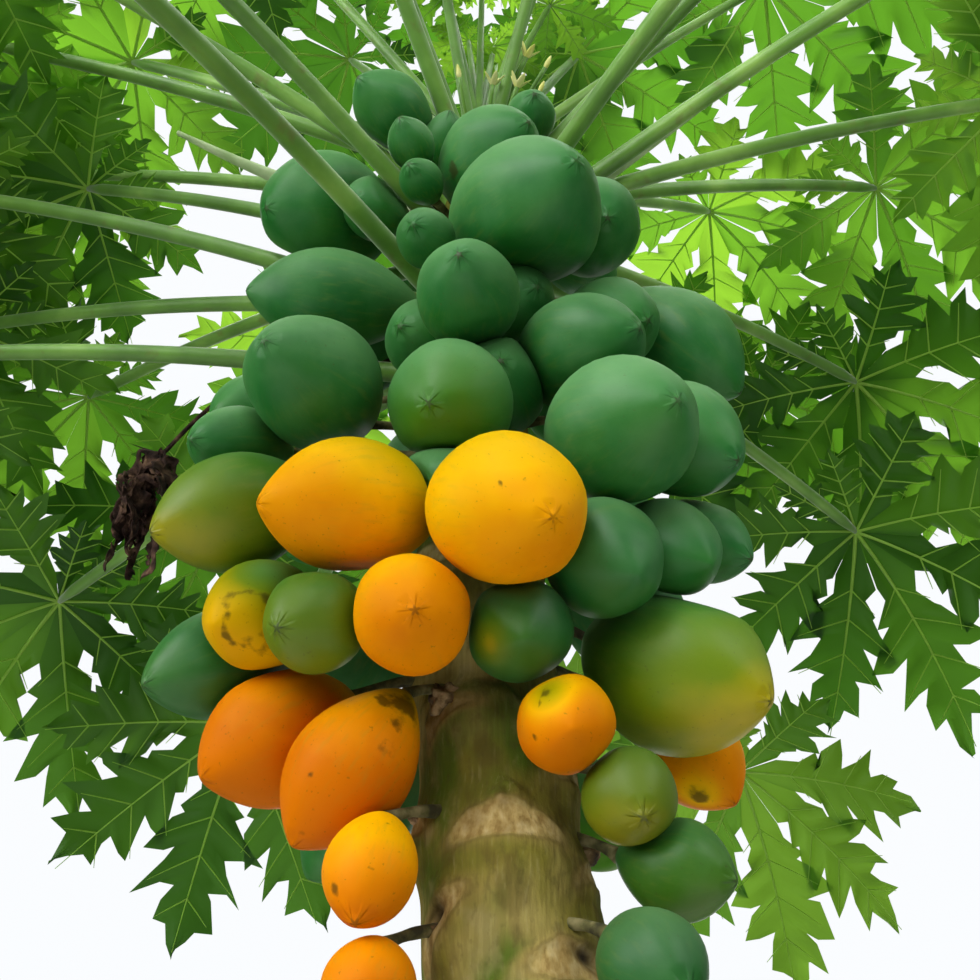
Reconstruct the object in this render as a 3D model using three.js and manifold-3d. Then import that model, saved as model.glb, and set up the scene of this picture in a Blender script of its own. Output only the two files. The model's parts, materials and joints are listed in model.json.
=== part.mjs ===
// Papaya plant in full fruit: a leaning trunk, a column of fruits pressed together
// round its upper half, and a crown of large palmate leaves on long stalks.
// Millimetres, +Z up. The origin is the middle of the flat cut at ground level.
// Azimuth 0 is the front of the plant (-Y) and grows towards +X.

import * as THREE from 'three';
import { mergeVertices } from 'three/addons/utils/BufferGeometryUtils.js';
import Module from 'manifold-3d';

// Driving dimensions

const TRUNK_HEIGHT = 2900;
const TRUNK_TIP_RADIUS = 30;
const TRUNK_TAPER = 72;
const TAPER_POWER = 0.4;
const TRUNK_SIDES = 18;
const TRUNK_LEVELS = [0, 45, 110, 220, 480, 900, 1300, 1600, 1850, 2100, 2350, 2600, 2780, 2880, TRUNK_HEIGHT];
const FLARE_RADIUS = 48;
const FLARE_HEIGHT = 110;
const FLARE_LOBES = 4;
const FLARE_LOBE_DEPTH = 7;
const LEAN = -140;
const LEAN_HEIGHT = 2400;
const SEAT_GAP = 0.3;

const STALK_SIDES = 3;
const STALK_ROOT_RADIUS = 11;
const STALK_TIP_RADIUS = 8;
const FORK_OUTS = [26, 45, 70];
const FORK_RISE = 4;
const FORK_LIFTS = [0, 20, -20, 40, -40, 60, -60, 80, -80, 100, -100, 120, -120];
const KNUCKLE_RADIUS = 22;

const FRUIT_SIDES = 8;
const FRUIT_RINGS = [0.08, 0.34, 0.68, 0.93];
const FACET_SWELL = 1.07;
const FRUIT_FULLNESS = 0.6;
const FRUIT_BELLY = 1.15;
const CORE_INSET = 0.45;
const SHORTEST_CORE = 0.06;
const FRUITS_PER_CLUSTER = 5;
const CLUSTER_REACH = 300;
const CLUSTER_ARC = 90;
const PRESS_GAP = 0.6;
const DEEPEST_PRESS = 0.27;
const LEAST_ROOM = 2;

const PETIOLE_ROOT_RADIUS = 15;
const PETIOLE_TIP_RADIUS = 8;
const PETIOLE_POINT_RADIUS = 1;
const PETIOLE_SAG = 0.08;
const PETIOLE_SIDES = 4;
const PETIOLE_BEND = 1 / 3;
const PETIOLE_NECK = 0.97;
const STEEP_PITCH = 40;
const STEEP_GIRTH = 0.75;

const BLADE_RADIUS = 405;
const BLADE_THICKNESS = 7.5;
const BLADE_DROOP = 0.34;
const BLADE_TILT = 40;
const BLADE_LIFT = 0.62;
const YOUNG_BELOW = 200;
const YOUNG_THICKNESS = 3;
const YOUNG_GIRTH = 0.5;
const BASE_NOTCH = 0.02;
const SINUS = 0.3;
const SHOULDER = 0.6;
const NOTCH = 0.7;
const NOTCH_WIDTH = 0.4;
const LOBES = [
  { angle: 0, length: 1, width: 0.18, notched: true },
  { angle: 39, length: 0.96, width: 0.18, notched: true },
  { angle: 78, length: 0.86, width: 0.18, notched: false },
  { angle: 120, length: 0.68, width: 0.19, notched: false },
];

const GUARD = 1.5;

// Fruits that show from the front, read by eye:
// height, azimuth, reach from the trunk's axis, droop of the tip, turn of the tip
// away from straight out, length, breadth and tone.
const FRONT_FRUITS = [
  [2764, -47, 172, 8, 11, 164, 113, 'green'],
  [2610, -29, 185, 0, 11, 94, 65, 'green'],
  [2730, -30, 100, -10, 40, 105, 72, 'green'],
  [2540, -26, 168, 16, 4, 84, 60, 'green'],
  [2606, 6, 140, 16, 29, 198, 141, 'green'],
  [2740, 34, 145, 18, -30, 116, 78, 'green'],
  [2402, 17, 198, 17, 11, 262, 190, 'green'],
  [2500, 56, 192, 45, -45, 189, 136, 'green'],
  [2600, -76, 222, 38, 30, 252, 181, 'green'],
  [2402, -72, 196, 8, -3, 236, 140, 'green'],
  [2144, -49, 239, 14, 27, 209, 150, 'green'],
  [2235, -2, 208, 18, -3, 178, 120, 'green'],
  [2105, -9, 176, 42, -7, 184, 139, 'green'],
  [2198, 37, 194, 19, 3, 198, 136, 'green'],
  [2303, 57, 198, 38, -20, 168, 119, 'green'],
  [2342, 82, 268, 50, 8, 230, 151, 'green'],
  [2050, 38, 236, 20, -10, 206, 158, 'green'],
  [2125, 68, 246, 45, -20, 206, 138, 'green'],
  [1917, 4, 228, 36, 27, 196, 150, 'yellow'],
  [1962, -35, 216, 19, -26, 204, 138, 'yellow'],
  [1996, -64, 283, 32, -3, 194, 128, 'olive'],
  [1872, -63, 247, 33, 35, 160, 112, 'yellow'],
  [1838, -45, 228, 34, 16, 126, 98, 'olive'],
  [1830, -21, 200, 29, 28, 143, 112, 'orange'],
  [1838, 11, 148, 38, -9, 130, 102, 'green'],
  [1862, -83, 277, 33, 32, 190, 116, 'green'],
  [1778, -79, 214, 40, 20, 183, 138, 'orange'],
  [1725, -55, 162, 58, -34, 174, 115, 'orange'],
  [1621, -42, 170, 60, 30, 120, 79, 'orange'],
  [1532, -47, 162, 50, 40, 97, 76, 'orange'],
  [1744, 25, 150, 29, -24, 109, 90, 'orange'],
  [1844, 73, 194, 34, -18, 226, 173, 'olive'],
  [1688, 46, 158, 40, -38, 104, 87, 'green'],
  [1800, 104, 222, 58, -36, 146, 104, 'orange'],
  [1636, 64, 166, 20, -4, 114, 89, 'green'],
  [1541, 35, 178, 32, -10, 111, 85, 'green'],
  [1918, 38, 190, 44, -15, 166, 120, 'green'],
  [1968, 64, 215, 42, -30, 164, 109, 'green'],
  [2022, 82, 250, 42, -30, 158, 96, 'green'],
  [2102, -69, 288, 28, 32, 152, 96, 'green'],
  [2205, -80, 268, 38, 40, 173, 107, 'green'],
  [2343, -15, 216, 30, -3, 101, 72, 'green'],
  [2548, -54, 172, 36, 20, 126, 92, 'green'],
  [2330, 20, 120, 25, 10, 150, 118, 'green'],
  [2175, 12, 125, 20, -10, 150, 120, 'green'],
  [2280, -30, 112, 25, 0, 140, 108, 'green'],
  [2010, -14, 140, 30, 0, 140, 112, 'green'],
];

// Fruits behind are set one by one in the order of the leaf spiral, each sized by its height.
const GOLDEN_ANGLE = 137.508;
const BACK_FROM = 100;
const BACK_TO = 250;
const BACK_LOW_BELOW = 1700;
const BACK_LOW_MARGIN = 28;
const BACK_BOTTOM = 1570;
const BACK_STEP = 9.2;
const BACK_COUNT = 128;
const BACK_SQUEEZE = 0.97;
const BACK_SEED = 7;
const BACK_STALK = 42;
const BACK_BREADTH_SPREAD = [0.88, 1.12];
const BACK_SLENDERNESS = [1.28, 1.53];
const BACK_DROOP = [48, 8];
const BACK_DROOP_TOP = 2750;
const BACK_DROOP_SPREAD = 7;
const BACK_TURN = 12;
const HUNG_SHARE = 0.47;
const ORANGE_BELOW = 1800;
const ORANGE_SHARE = 0.5;
const YELLOW_BELOW = 2000;
const YELLOW_SHARE = 0.25;
const BREADTH_BY_HEIGHT = [[1500, 84], [1700, 104], [1950, 132], [2200, 146], [2450, 148], [2600, 118], [2800, 60]];

// Leaves, from the front ones on the left round to the steep ones at the tip and the lower ones
// behind: heading of the stalk, height of its root, pitch, length, roll of the blade and its radius.
const LEAVES = [
  [-31, 2390, -5, 900, -3, 380],
  [-40, 2540, 10, 860, 4, 375],
  [-64, 2660, 20, 880, 1, 420],
  [-81, 2755, 18, 860, 5, 390],
  [-93, 2780, 35, 820, 7, 445],
  [-99, 2560, 29, 820, -3, 375],
  [-102, 2675, 27, 890, 5, 380],
  [-87, 2430, 20, 900, -2, 440],
  [-101, 2460, 13, 890, -3, 400],
  [-90, 2310, 7, 880, 4, 440],
  [-120, 2590, 11, 890, 6, 375],
  [-142, 2475, 11, 870, -1, 445],
  [-126, 2365, 0, 920, 3, 415],
  [82, 2645, 15, 880, 3, 425],
  [103, 2690, 25, 860, 0, 400],
  [127, 2715, 40, 820, 8, 385],
  [121, 2655, 10, 880, 6, 440],
  [135, 2565, 23, 920, 3, 385],
  [150, 2670, 30, 860, -2, 370],
  [128, 2525, 0, 900, 4, 435],
  [158, 2575, 23, 840, -6, 440],
  [148, 2305, -11, 900, 7, 370],
  [62, 2565, 21, 930, 5, 420],
  [84, 2800, 45, 780, -5, 430],
  [34, 2545, 10, 880, -4, 425],
  [50, 2650, 24, 870, 4, 435],
  [-67, 2835, 50, 760, 5, 405],
  [-24, 2710, 30, 840, 8, 385],
  [-36, 2755, 56, 740, -9, 400],
  [-31, 2785, 74, 700, -8, 380],
  [169, 2785, 74, 750, 6, 400],
  [23, 2720, 52, 690, 0, 380],
  [34, 2855, 56, 780, -8, 395],
  [-150, 2420, -12, 900, 7, 410],
  [-166, 2560, 8, 900, 3, 415],
  [178, 2450, -8, 920, 4, 375],
  [-152, 2690, 30, 860, 4, 395],
  [172, 2645, 24, 850, -6, 425],
  [-174, 2740, 45, 800, 5, 375],
  [-120, 2820, 63, 730, 3, 385],
  [119, 2805, 68, 630, -10, 375],
];

// Young leaves at the tip, in the same way.
const YOUNG_LEAVES = [
  [5, 2930, 82, 430, -4, 170],
  [64, 2900, 66, 360, 0, 145],
];
const BUD_HEIGHT = 110;
const BUD_ROOT_RADIUS = 14;
const BUD_TIP_RADIUS = 5;

// A dead leaf that still hangs from its dry stalk on the left of the fruits.
const DEAD_LEAF = { azimuth: -97, root: 2420, reach: 430, height: 2215, length: 190, width: 22, lobes: 4 };
const DEAD_STALK_RADIUS = 6;
const DEAD_LOBE_SPREAD = 0.2;
const DEAD_LOBE_SHRINK = 0.1;

const COLOURS = {
  bark: 0x6e6432, leaf: 0x3c8c14, green: 0x28603a, olive: 0x5a6e14, yellow: 0xdc8c00,
  orange: 0xe0801a, young: 0x78aa3c, dead: 0x4b3728,
};
const ROUGHNESS = { bark: 0.85, leaf: 0.55, fruit: 0.5 };

// Small helpers

const wasm = await Module();
wasm.setup();

const radians = THREE.MathUtils.degToRad;
const CURVE_STEP = 1e-3;
const SIDEWAYS_FROM = new THREE.Vector3(0.13, 0.21, 0.97);

function mulberry(seed) {
  let state = seed;
  return () => {
    state = (state + 0x6d2b79f5) | 0;
    let mixed = Math.imul(state ^ (state >>> 15), 1 | state);
    mixed = (mixed + Math.imul(mixed ^ (mixed >>> 7), 61 | mixed)) ^ mixed;
    return ((mixed ^ (mixed >>> 14)) >>> 0) / 4294967296;
  };
}

function heading(azimuth, pitch) {
  const across = Math.cos(radians(pitch));
  return new THREE.Vector3(
    Math.sin(radians(azimuth)) * across,
    -Math.cos(radians(azimuth)) * across,
    Math.sin(radians(pitch)),
  );
}

function solidOf(geometry) {
  const bare = geometry.index ? geometry.toNonIndexed() : geometry.clone();
  bare.deleteAttribute('normal');
  bare.deleteAttribute('uv');
  const merged = mergeVertices(bare, 1e-3);
  const mesh = new wasm.Mesh({
    numProp: 3,
    vertProperties: new Float32Array(merged.attributes.position.array),
    triVerts: new Uint32Array(merged.index.array),
  });
  return new wasm.Manifold(mesh);
}

function geometryOf(solid) {
  const mesh = solid.getMesh();
  const geometry = new THREE.BufferGeometry();
  geometry.setAttribute('position', new THREE.BufferAttribute(mesh.vertProperties, 3));
  geometry.setIndex(new THREE.BufferAttribute(mesh.triVerts, 1));
  return geometry;
}

function mapPoints(geometry, move) {
  const places = geometry.attributes.position;
  const point = new THREE.Vector3();
  for (let i = 0; i < places.count; i += 1) {
    point.fromBufferAttribute(places, i);
    move(point);
    places.setXYZ(i, point.x, point.y, point.z);
  }
  return geometry;
}

// A round limb along a curve, with a ring of the given radius at each station from 0 to 1.
function limb(pointAt, stations, sides) {
  const steps = stations.length - 1;
  const tube = new THREE.CylinderGeometry(1, 1, 1, sides, steps);
  return mapPoints(tube, (p) => {
    const ring = Math.round(THREE.MathUtils.clamp(p.y + 0.5, 0, 1) * steps);
    const [t, radius] = stations[ring];
    const ahead = pointAt(Math.min(t + CURVE_STEP, 1)).sub(pointAt(Math.max(t - CURVE_STEP, 0)));
    const side = new THREE.Vector3().crossVectors(ahead.normalize(), SIDEWAYS_FROM).normalize();
    const over = new THREE.Vector3().crossVectors(side, ahead);
    p.copy(pointAt(t).addScaledVector(side, p.x * radius).addScaledVector(over, p.z * radius));
  });
}

function stretch(from, to, rootRadius, tipRadius, sides) {
  return limb((t) => from.clone().lerp(to, t), [[0, rootRadius], [1, tipRadius]], sides);
}

// The trunk

function leanAt(z) {
  return LEAN * THREE.MathUtils.smoothstep(z, 0, LEAN_HEIGHT);
}

function trunkRadius(z) {
  const left = Math.max(1 - z / TRUNK_HEIGHT, 0);
  return TRUNK_TIP_RADIUS + TRUNK_TAPER * left ** TAPER_POWER + FLARE_RADIUS * Math.exp(-z / FLARE_HEIGHT);
}

function trunkAxis(z) {
  return new THREE.Vector3(leanAt(z), 0, z);
}

function trunkSolid(grow) {
  const profile = TRUNK_LEVELS.map((z) => new THREE.Vector2(trunkRadius(z) + grow, z));
  profile[0].y -= grow;
  profile[profile.length - 1].y += grow;
  profile.unshift(new THREE.Vector2(0, profile[0].y));
  profile.push(new THREE.Vector2(0, TRUNK_HEIGHT + grow));
  const lathe = new THREE.LatheGeometry(profile, TRUNK_SIDES);
  mapPoints(lathe, (p) => {
    const z = p.y;
    const angle = Math.atan2(p.x, p.z);
    const distance = Math.hypot(p.x, p.z);
    const lobe = FLARE_LOBE_DEPTH * Math.cos(FLARE_LOBES * angle) * Math.exp(-z / FLARE_HEIGHT);
    const radius = distance > 0 ? distance + lobe : 0;
    p.set(leanAt(z) + Math.sin(angle) * radius, -Math.cos(angle) * radius, z);
  });
  return solidOf(lathe);
}

const trunk = trunkSolid(0);
const trunkSpace = trunkSolid(SEAT_GAP);

// Leaves

// The outline of a palmate blade whose stalk joins at the origin and points along +Y.
function bladeShape(radius) {
  const left = LOBES.slice(1).reverse().map((lobe) => ({ ...lobe, angle: -lobe.angle }));
  const lobes = [...left, ...LOBES];
  const points = [new THREE.Vector2(0, -BASE_NOTCH * radius)];
  const add = (angle, along, across) => {
    const point = new THREE.Vector2(across * radius, along * radius);
    points.push(point.rotateAround(new THREE.Vector2(), -radians(angle)));
  };
  lobes.forEach(({ angle, length, width, notched }, k) => {
    add(angle, SHOULDER * length, -width * length);
    if (notched) {
      add(angle, NOTCH * length, -NOTCH_WIDTH * width * length);
    }
    add(angle, length, 0);
    if (notched) {
      add(angle, NOTCH * length, NOTCH_WIDTH * width * length);
    }
    add(angle, SHOULDER * length, width * length);
    if (k < lobes.length - 1) {
      const next = lobes[k + 1];
      add((angle + next.angle) / 2, SINUS * Math.min(length, next.length), 0);
    }
  });
  return new THREE.Shape(points);
}

function bladeGeometry(radius, thickness) {
  const blade = new THREE.ExtrudeGeometry(bladeShape(radius), { depth: thickness, bevelEnabled: false });
  return mapPoints(blade, (p) => {
    p.z -= thickness / 2 + BLADE_DROOP * (p.x * p.x + p.y * p.y) / radius;
  });
}

// A petiole runs straight past the fruits and sags over its outer part.
function petiolePoint(leaf, t) {
  const late = Math.max(t - PETIOLE_BEND, 0) / (1 - PETIOLE_BEND);
  const sag = PETIOLE_SAG * leaf.length * late * late * Math.cos(radians(leaf.pitch));
  const point = leaf.root.clone().addScaledVector(heading(leaf.azimuth, leaf.pitch), leaf.length * t);
  point.z -= sag;
  return point;
}

function leafSolid(leaf) {
  const forward = heading(leaf.azimuth, leaf.pitch * BLADE_LIFT - BLADE_TILT);
  const side = heading(leaf.azimuth - 90, 0).applyAxisAngle(forward, radians(leaf.roll));
  const up = new THREE.Vector3().crossVectors(side, forward);
  const blade = bladeGeometry(leaf.radius, leaf.thickness);
  blade.applyMatrix4(new THREE.Matrix4().makeBasis(side, forward, up).setPosition(petiolePoint(leaf, 1)));
  const girthAt = (t) => leaf.girth * THREE.MathUtils.lerp(PETIOLE_ROOT_RADIUS, PETIOLE_TIP_RADIUS, t);
  const stations = [0, PETIOLE_BEND, PETIOLE_NECK].map((t) => [t, girthAt(t)]);
  stations.push([1, PETIOLE_POINT_RADIUS]);
  return solidOf(limb((t) => petiolePoint(leaf, t), stations, PETIOLE_SIDES)).add(solidOf(blade));
}

function makeLeaf([azimuth, height, pitch, length, roll, radius]) {
  const leaf = { azimuth, pitch, length, roll, radius, root: trunkAxis(height) };
  const young = radius < YOUNG_BELOW;
  leaf.thickness = young ? YOUNG_THICKNESS : BLADE_THICKNESS;
  leaf.girth = pitch > STEEP_PITCH ? STEEP_GIRTH : 1;
  if (young) {
    leaf.girth = YOUNG_GIRTH;
  }
  leaf.solid = leafSolid(leaf);
  return leaf;
}

// A shrivelled leaf: narrow lobes that hang together from the end of a dry stalk.
function deadLeafSolid() {
  const { azimuth, root, reach, height, length, width, lobes } = DEAD_LEAF;
  const hang = trunkAxis(height).addScaledVector(heading(azimuth, 0), reach);
  let solid = solidOf(stretch(trunkAxis(root), hang, DEAD_STALK_RADIUS, DEAD_STALK_RADIUS, PETIOLE_SIDES));
  for (let k = 0; k < lobes; k += 1) {
    const out = heading(azimuth + 360 * k / lobes, 0).multiplyScalar(DEAD_LOBE_SPREAD);
    const down = out.setZ(-1).multiplyScalar(length * (1 - DEAD_LOBE_SHRINK * k));
    const stations = [[0, DEAD_STALK_RADIUS + 2], [0.35, width], [0.75, 0.7 * width], [1, 2]];
    solid = solid.add(solidOf(limb((t) => hang.clone().addScaledVector(down, t), stations, 4)));
  }
  return solid;
}

function budSolid() {
  const foot = trunkAxis(TRUNK_HEIGHT);
  const top = trunkAxis(TRUNK_HEIGHT + BUD_HEIGHT);
  return solidOf(stretch(foot, top, BUD_ROOT_RADIUS, BUD_TIP_RADIUS, PETIOLE_SIDES));
}

const leaves = LEAVES.map(makeLeaf);
const youngLeaves = YOUNG_LEAVES.map(makeLeaf);
const deadLeaf = deadLeafSolid();
const bud = budSolid();

// Fruits

// The skin's share of the full radius, from the stem end at 0 to the tip at 1.
function fruitRadius(t) {
  return Math.sin(Math.PI * t ** FRUIT_BELLY) ** FRUIT_FULLNESS;
}

// The straight middle of a fruit, which every point of its skin is drawn towards.
function coreOf({ centre, axis, length, breadth }) {
  const half = Math.max(length / 2 - breadth * CORE_INSET, length * SHORTEST_CORE);
  return [centre.clone().addScaledVector(axis, -half), centre.clone().addScaledVector(axis, half)];
}

function fruitSkin({ stem, axis, length, breadth }) {
  const profile = FRUIT_RINGS.map((t) => {
    return new THREE.Vector2(FACET_SWELL * fruitRadius(t) * breadth / 2, t * length);
  });
  const lathe = new THREE.LatheGeometry(
    [new THREE.Vector2(0, 0), ...profile, new THREE.Vector2(0, length)],
    FRUIT_SIDES,
  );
  lathe.applyQuaternion(new THREE.Quaternion().setFromUnitVectors(new THREE.Vector3(0, 1, 0), axis));
  return lathe.translate(stem.x, stem.y, stem.z);
}

function makeFruit(height, azimuth, reach, droop, turn, length, breadth, tone) {
  const centre = trunkAxis(height).addScaledVector(heading(azimuth, 0), reach);
  const axis = heading(azimuth + turn, -droop);
  const stem = centre.clone().addScaledVector(axis, -length / 2);
  const fruit = { centre, axis, length, breadth, tone, stem, planes: [] };
  fruit.core = coreOf(fruit);
  fruit.skin = fruitSkin(fruit);
  return fruit;
}

function breadthAt(height) {
  const above = BREADTH_BY_HEIGHT.findIndex(([level]) => level >= height);
  const [[lowLevel, low], [highLevel, high]] = BREADTH_BY_HEIGHT.slice(above - 1, above + 1);
  return THREE.MathUtils.mapLinear(height, lowLevel, highLevel, low, high);
}

// Closest points of two straight stretches, each given by its two ends.
function closest([a0, a1], [b0, b1]) {
  const a = a1.clone().sub(a0);
  const b = b1.clone().sub(b0);
  const between = a0.clone().sub(b0);
  const [aa, bb, ab] = [a.dot(a), b.dot(b), a.dot(b)];
  const [ar, br] = [a.dot(between), b.dot(between)];
  const spread = aa * bb - ab * ab;
  let s = spread > 1e-6 * aa * bb ? THREE.MathUtils.clamp((ab * br - bb * ar) / spread, 0, 1) : 0.5;
  const t = THREE.MathUtils.clamp((ab * s + br) / bb, 0, 1);
  s = THREE.MathUtils.clamp((ab * t - ar) / aa, 0, 1);
  return [a0.clone().addScaledVector(a, s), b0.clone().addScaledVector(b, t)];
}

function distanceBetween(first, second) {
  const [a, b] = closest(first, second);
  return a.distanceTo(b);
}

// Whether a petiole would run too far inside a fruit for the skin to give way.
function tooDeep(fruit, line) {
  return distanceBetween(fruit.core, line) < DEEPEST_PRESS * fruit.breadth + PETIOLE_ROOT_RADIUS;
}

function crowded(fruit, other) {
  return distanceBetween(fruit.core, other.core) < BACK_SQUEEZE * (fruit.breadth + other.breadth) / 2;
}

const petioleLines = [...leaves, ...youngLeaves].map((leaf) => {
  return [leaf.root, petiolePoint(leaf, PETIOLE_BEND)];
});

function backFruit(n, random) {
  const height = BACK_BOTTOM + n * BACK_STEP;
  const azimuth = THREE.MathUtils.euclideanModulo(n * GOLDEN_ANGLE, 360);
  const between = (low, high) => THREE.MathUtils.lerp(low, high, random());
  const breadth = breadthAt(height) * between(...BACK_BREADTH_SPREAD);
  const length = breadth * between(...BACK_SLENDERNESS);
  const usual = THREE.MathUtils.mapLinear(height, BACK_BOTTOM, BACK_DROOP_TOP, ...BACK_DROOP);
  const droop = usual + between(-BACK_DROOP_SPREAD, BACK_DROOP_SPREAD);
  const turn = between(-BACK_TURN, BACK_TURN);
  const ripe = random();
  const reach = trunkRadius(height) + BACK_STALK + length * HUNG_SHARE * Math.cos(radians(droop));
  let tone = 'green';
  if (height < ORANGE_BELOW && ripe < ORANGE_SHARE) {
    tone = 'orange';
  } else if (height < YELLOW_BELOW && ripe < YELLOW_SHARE) {
    tone = 'yellow';
  }
  return { fruit: makeFruit(height, azimuth, reach, droop, turn, length, breadth, tone), azimuth };
}

const candidates = FRONT_FRUITS.map((row) => makeFruit(...row));
const backRandom = mulberry(BACK_SEED);
for (let n = 0; n < BACK_COUNT; n += 1) {
  const { fruit, azimuth } = backFruit(n, backRandom);
  const margin = fruit.centre.z < BACK_LOW_BELOW ? BACK_LOW_MARGIN : 0;
  const behind = azimuth > BACK_FROM + margin && azimuth < BACK_TO - margin;
  const touching = candidates.some((other) => crowded(fruit, other));
  const speared = petioleLines.some((line) => tooDeep(fruit, line));
  if (behind && !touching && !speared) {
    candidates.push(fruit);
  }
}

// Neighbouring fruits that are ripe, or unripe, together hang from one forked stalk.
function isRipe(fruit) {
  return fruit.tone === 'yellow' || fruit.tone === 'orange';
}

function middleOf(cluster) {
  const middle = new THREE.Vector3();
  cluster.forEach((fruit) => middle.add(fruit.stem));
  return middle.divideScalar(cluster.length);
}

// The angle between two points as seen from the trunk's axis.
function arcBetween(first, second) {
  const a = first.clone().sub(trunkAxis(first.z)).setZ(0);
  const b = second.clone().sub(trunkAxis(second.z)).setZ(0);
  return THREE.MathUtils.radToDeg(a.angleTo(b));
}

function clusterFruits() {
  const clusters = [];
  for (const fruit of [...candidates].sort((a, b) => a.stem.z - b.stem.z)) {
    const [nearest] = clusters
      .filter((cluster) => cluster.length < FRUITS_PER_CLUSTER && isRipe(cluster[0]) === isRipe(fruit))
      .filter((cluster) => middleOf(cluster).distanceTo(fruit.stem) < CLUSTER_REACH)
      .filter((cluster) => arcBetween(middleOf(cluster), fruit.stem) < CLUSTER_ARC)
      .sort((a, b) => middleOf(a).distanceTo(fruit.stem) - middleOf(b).distanceTo(fruit.stem));
    if (nearest) {
      nearest.push(fruit);
    } else {
      clusters.push([fruit]);
    }
  }
  return clusters;
}

// A cluster's stalk leaves the trunk, forks close to it and runs on into each fruit.
function stalkLines(cluster, out, lift) {
  const middle = middleOf(cluster);
  const foot = trunkAxis(middle.z + lift);
  const outward = middle.clone().sub(foot).setZ(0).normalize();
  const fork = foot.clone().addScaledVector(outward, trunkRadius(foot.z) + out);
  fork.z += FORK_RISE;
  return [[foot, fork], ...cluster.map((fruit) => [fork, fruit.core[0]])];
}

function stalkSolid([[foot, fork], ...branches], grow) {
  const knuckle = new THREE.OctahedronGeometry(KNUCKLE_RADIUS + grow).translate(fork.x, fork.y, fork.z);
  const trunkward = stretch(foot, fork, STALK_ROOT_RADIUS + grow, STALK_ROOT_RADIUS + grow, STALK_SIDES);
  let solid = solidOf(trunkward).add(solidOf(knuckle));
  for (const [from, to] of branches) {
    const radius = STALK_TIP_RADIUS + grow;
    solid = solid.add(solidOf(stretch(from, to, radius, radius, STALK_SIDES)));
  }
  return solid;
}

// Each stalk takes the first of a few ways out that is clear of the leaves and the stalks so far;
// a bunch with no free way is left out.
const stalks = [];
const leafSolids = [...leaves, ...youngLeaves].map((leaf) => leaf.solid).concat(deadLeaf, bud);
for (const cluster of clusterFruits()) {
  const trials = FORK_OUTS.flatMap((out) => FORK_LIFTS.map((lift) => stalkLines(cluster, out, lift)));
  const taken = [...leafSolids, ...stalks.map((stalk) => stalk.solid)];
  const free = trials.find((trial) => {
    const guard = stalkSolid(trial, GUARD).subtract(trunkSpace);
    return taken.every((solid) => solid.intersect(guard).isEmpty());
  });
  if (free) {
    stalks.push({ cluster, lines: free, solid: stalkSolid(free, 0) });
  }
}
const fruits = stalks.flatMap(({ cluster }) => cluster);

// Fruits that touch are flattened against each other

// How far a skin goes along a direction, measured from a point.
function extent(skin, direction, from) {
  const places = skin.attributes.position;
  const point = new THREE.Vector3();
  let most = 0;
  for (let i = 0; i < places.count; i += 1) {
    most = Math.max(most, point.fromBufferAttribute(places, i).sub(from).dot(direction));
  }
  return most;
}

function pressTogether(a, b) {
  const [pointA, pointB] = closest(a.core, b.core);
  const normal = pointB.clone().sub(pointA).normalize();
  const distance = pointA.distanceTo(pointB);
  const reachA = extent(a.skin, normal, pointA);
  const reachB = extent(b.skin, normal.clone().negate(), pointB);
  if (reachA + reachB + PRESS_GAP > distance) {
    const middle = pointA.dot(normal) + distance * reachA / (reachA + reachB);
    a.planes.push({ normal, limit: middle - PRESS_GAP / 2 });
    b.planes.push({ normal: normal.clone().negate(), limit: -(middle + PRESS_GAP / 2) });
  }
}

function pressOnLine(fruit, line, radius) {
  const [inside, outside] = closest(fruit.core, line);
  const normal = outside.clone().sub(inside).normalize();
  fruit.planes.push({ normal, limit: outside.dot(normal) - radius - PRESS_GAP });
}

function pressOnTrunk(fruit) {
  const { z } = fruit.centre;
  const low = z - fruit.length / 2;
  const normal = trunkAxis(z).sub(fruit.centre).setZ(0).normalize();
  const radius = trunkRadius(low) + Math.abs(leanAt(z) - leanAt(low));
  fruit.planes.push({ normal, limit: trunkAxis(z).dot(normal) - radius - PRESS_GAP });
}

// Draws the skin in until it stays behind every plane that the fruit is pressed against.
function pressedSolid(fruit) {
  const core = new THREE.Line3(...fruit.core);
  const nearest = new THREE.Vector3();
  return solidOf(mapPoints(fruit.skin.clone(), (p) => {
    core.closestPointToPoint(p, true, nearest);
    const away = p.clone().sub(nearest);
    const scale = fruit.planes.reduce((share, { normal, limit }) => {
      const room = Math.max(limit - nearest.dot(normal), LEAST_ROOM);
      return Math.min(share, room / Math.max(away.dot(normal), room));
    }, 1);
    p.copy(nearest).addScaledVector(away, scale);
  }));
}

fruits.forEach((fruit, i) => {
  pressOnTrunk(fruit);
  fruits.slice(i + 1).forEach((other) => pressTogether(fruit, other));
  for (const { cluster, lines } of stalks) {
    if (!cluster.includes(fruit)) {
      lines.forEach((line) => pressOnLine(fruit, line, STALK_ROOT_RADIUS));
    }
  }
});

for (const fruit of fruits) {
  for (const leaf of [...leaves, ...youngLeaves]) {
    const bend = petiolePoint(leaf, PETIOLE_BEND);
    pressOnLine(fruit, [leaf.root, bend], PETIOLE_ROOT_RADIUS);
    pressOnLine(fruit, [bend, petiolePoint(leaf, PETIOLE_NECK)], PETIOLE_ROOT_RADIUS);
  }
  const { azimuth, root, reach, height } = DEAD_LEAF;
  const hang = trunkAxis(height).addScaledVector(heading(azimuth, 0), reach);
  pressOnLine(fruit, [trunkAxis(root), hang], DEAD_STALK_RADIUS);
}

// The assembled plant

const plant = new THREE.Group();
const leafGroup = new THREE.Group();
const fruitGroup = new THREE.Group();
plant.add(leafGroup, fruitGroup);

// Keeps the largest piece, in case a cut leaves a scrap.
function largest(solid) {
  return solid.decompose().reduce((best, piece) => (piece.volume() > best.volume() ? piece : best));
}

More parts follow.
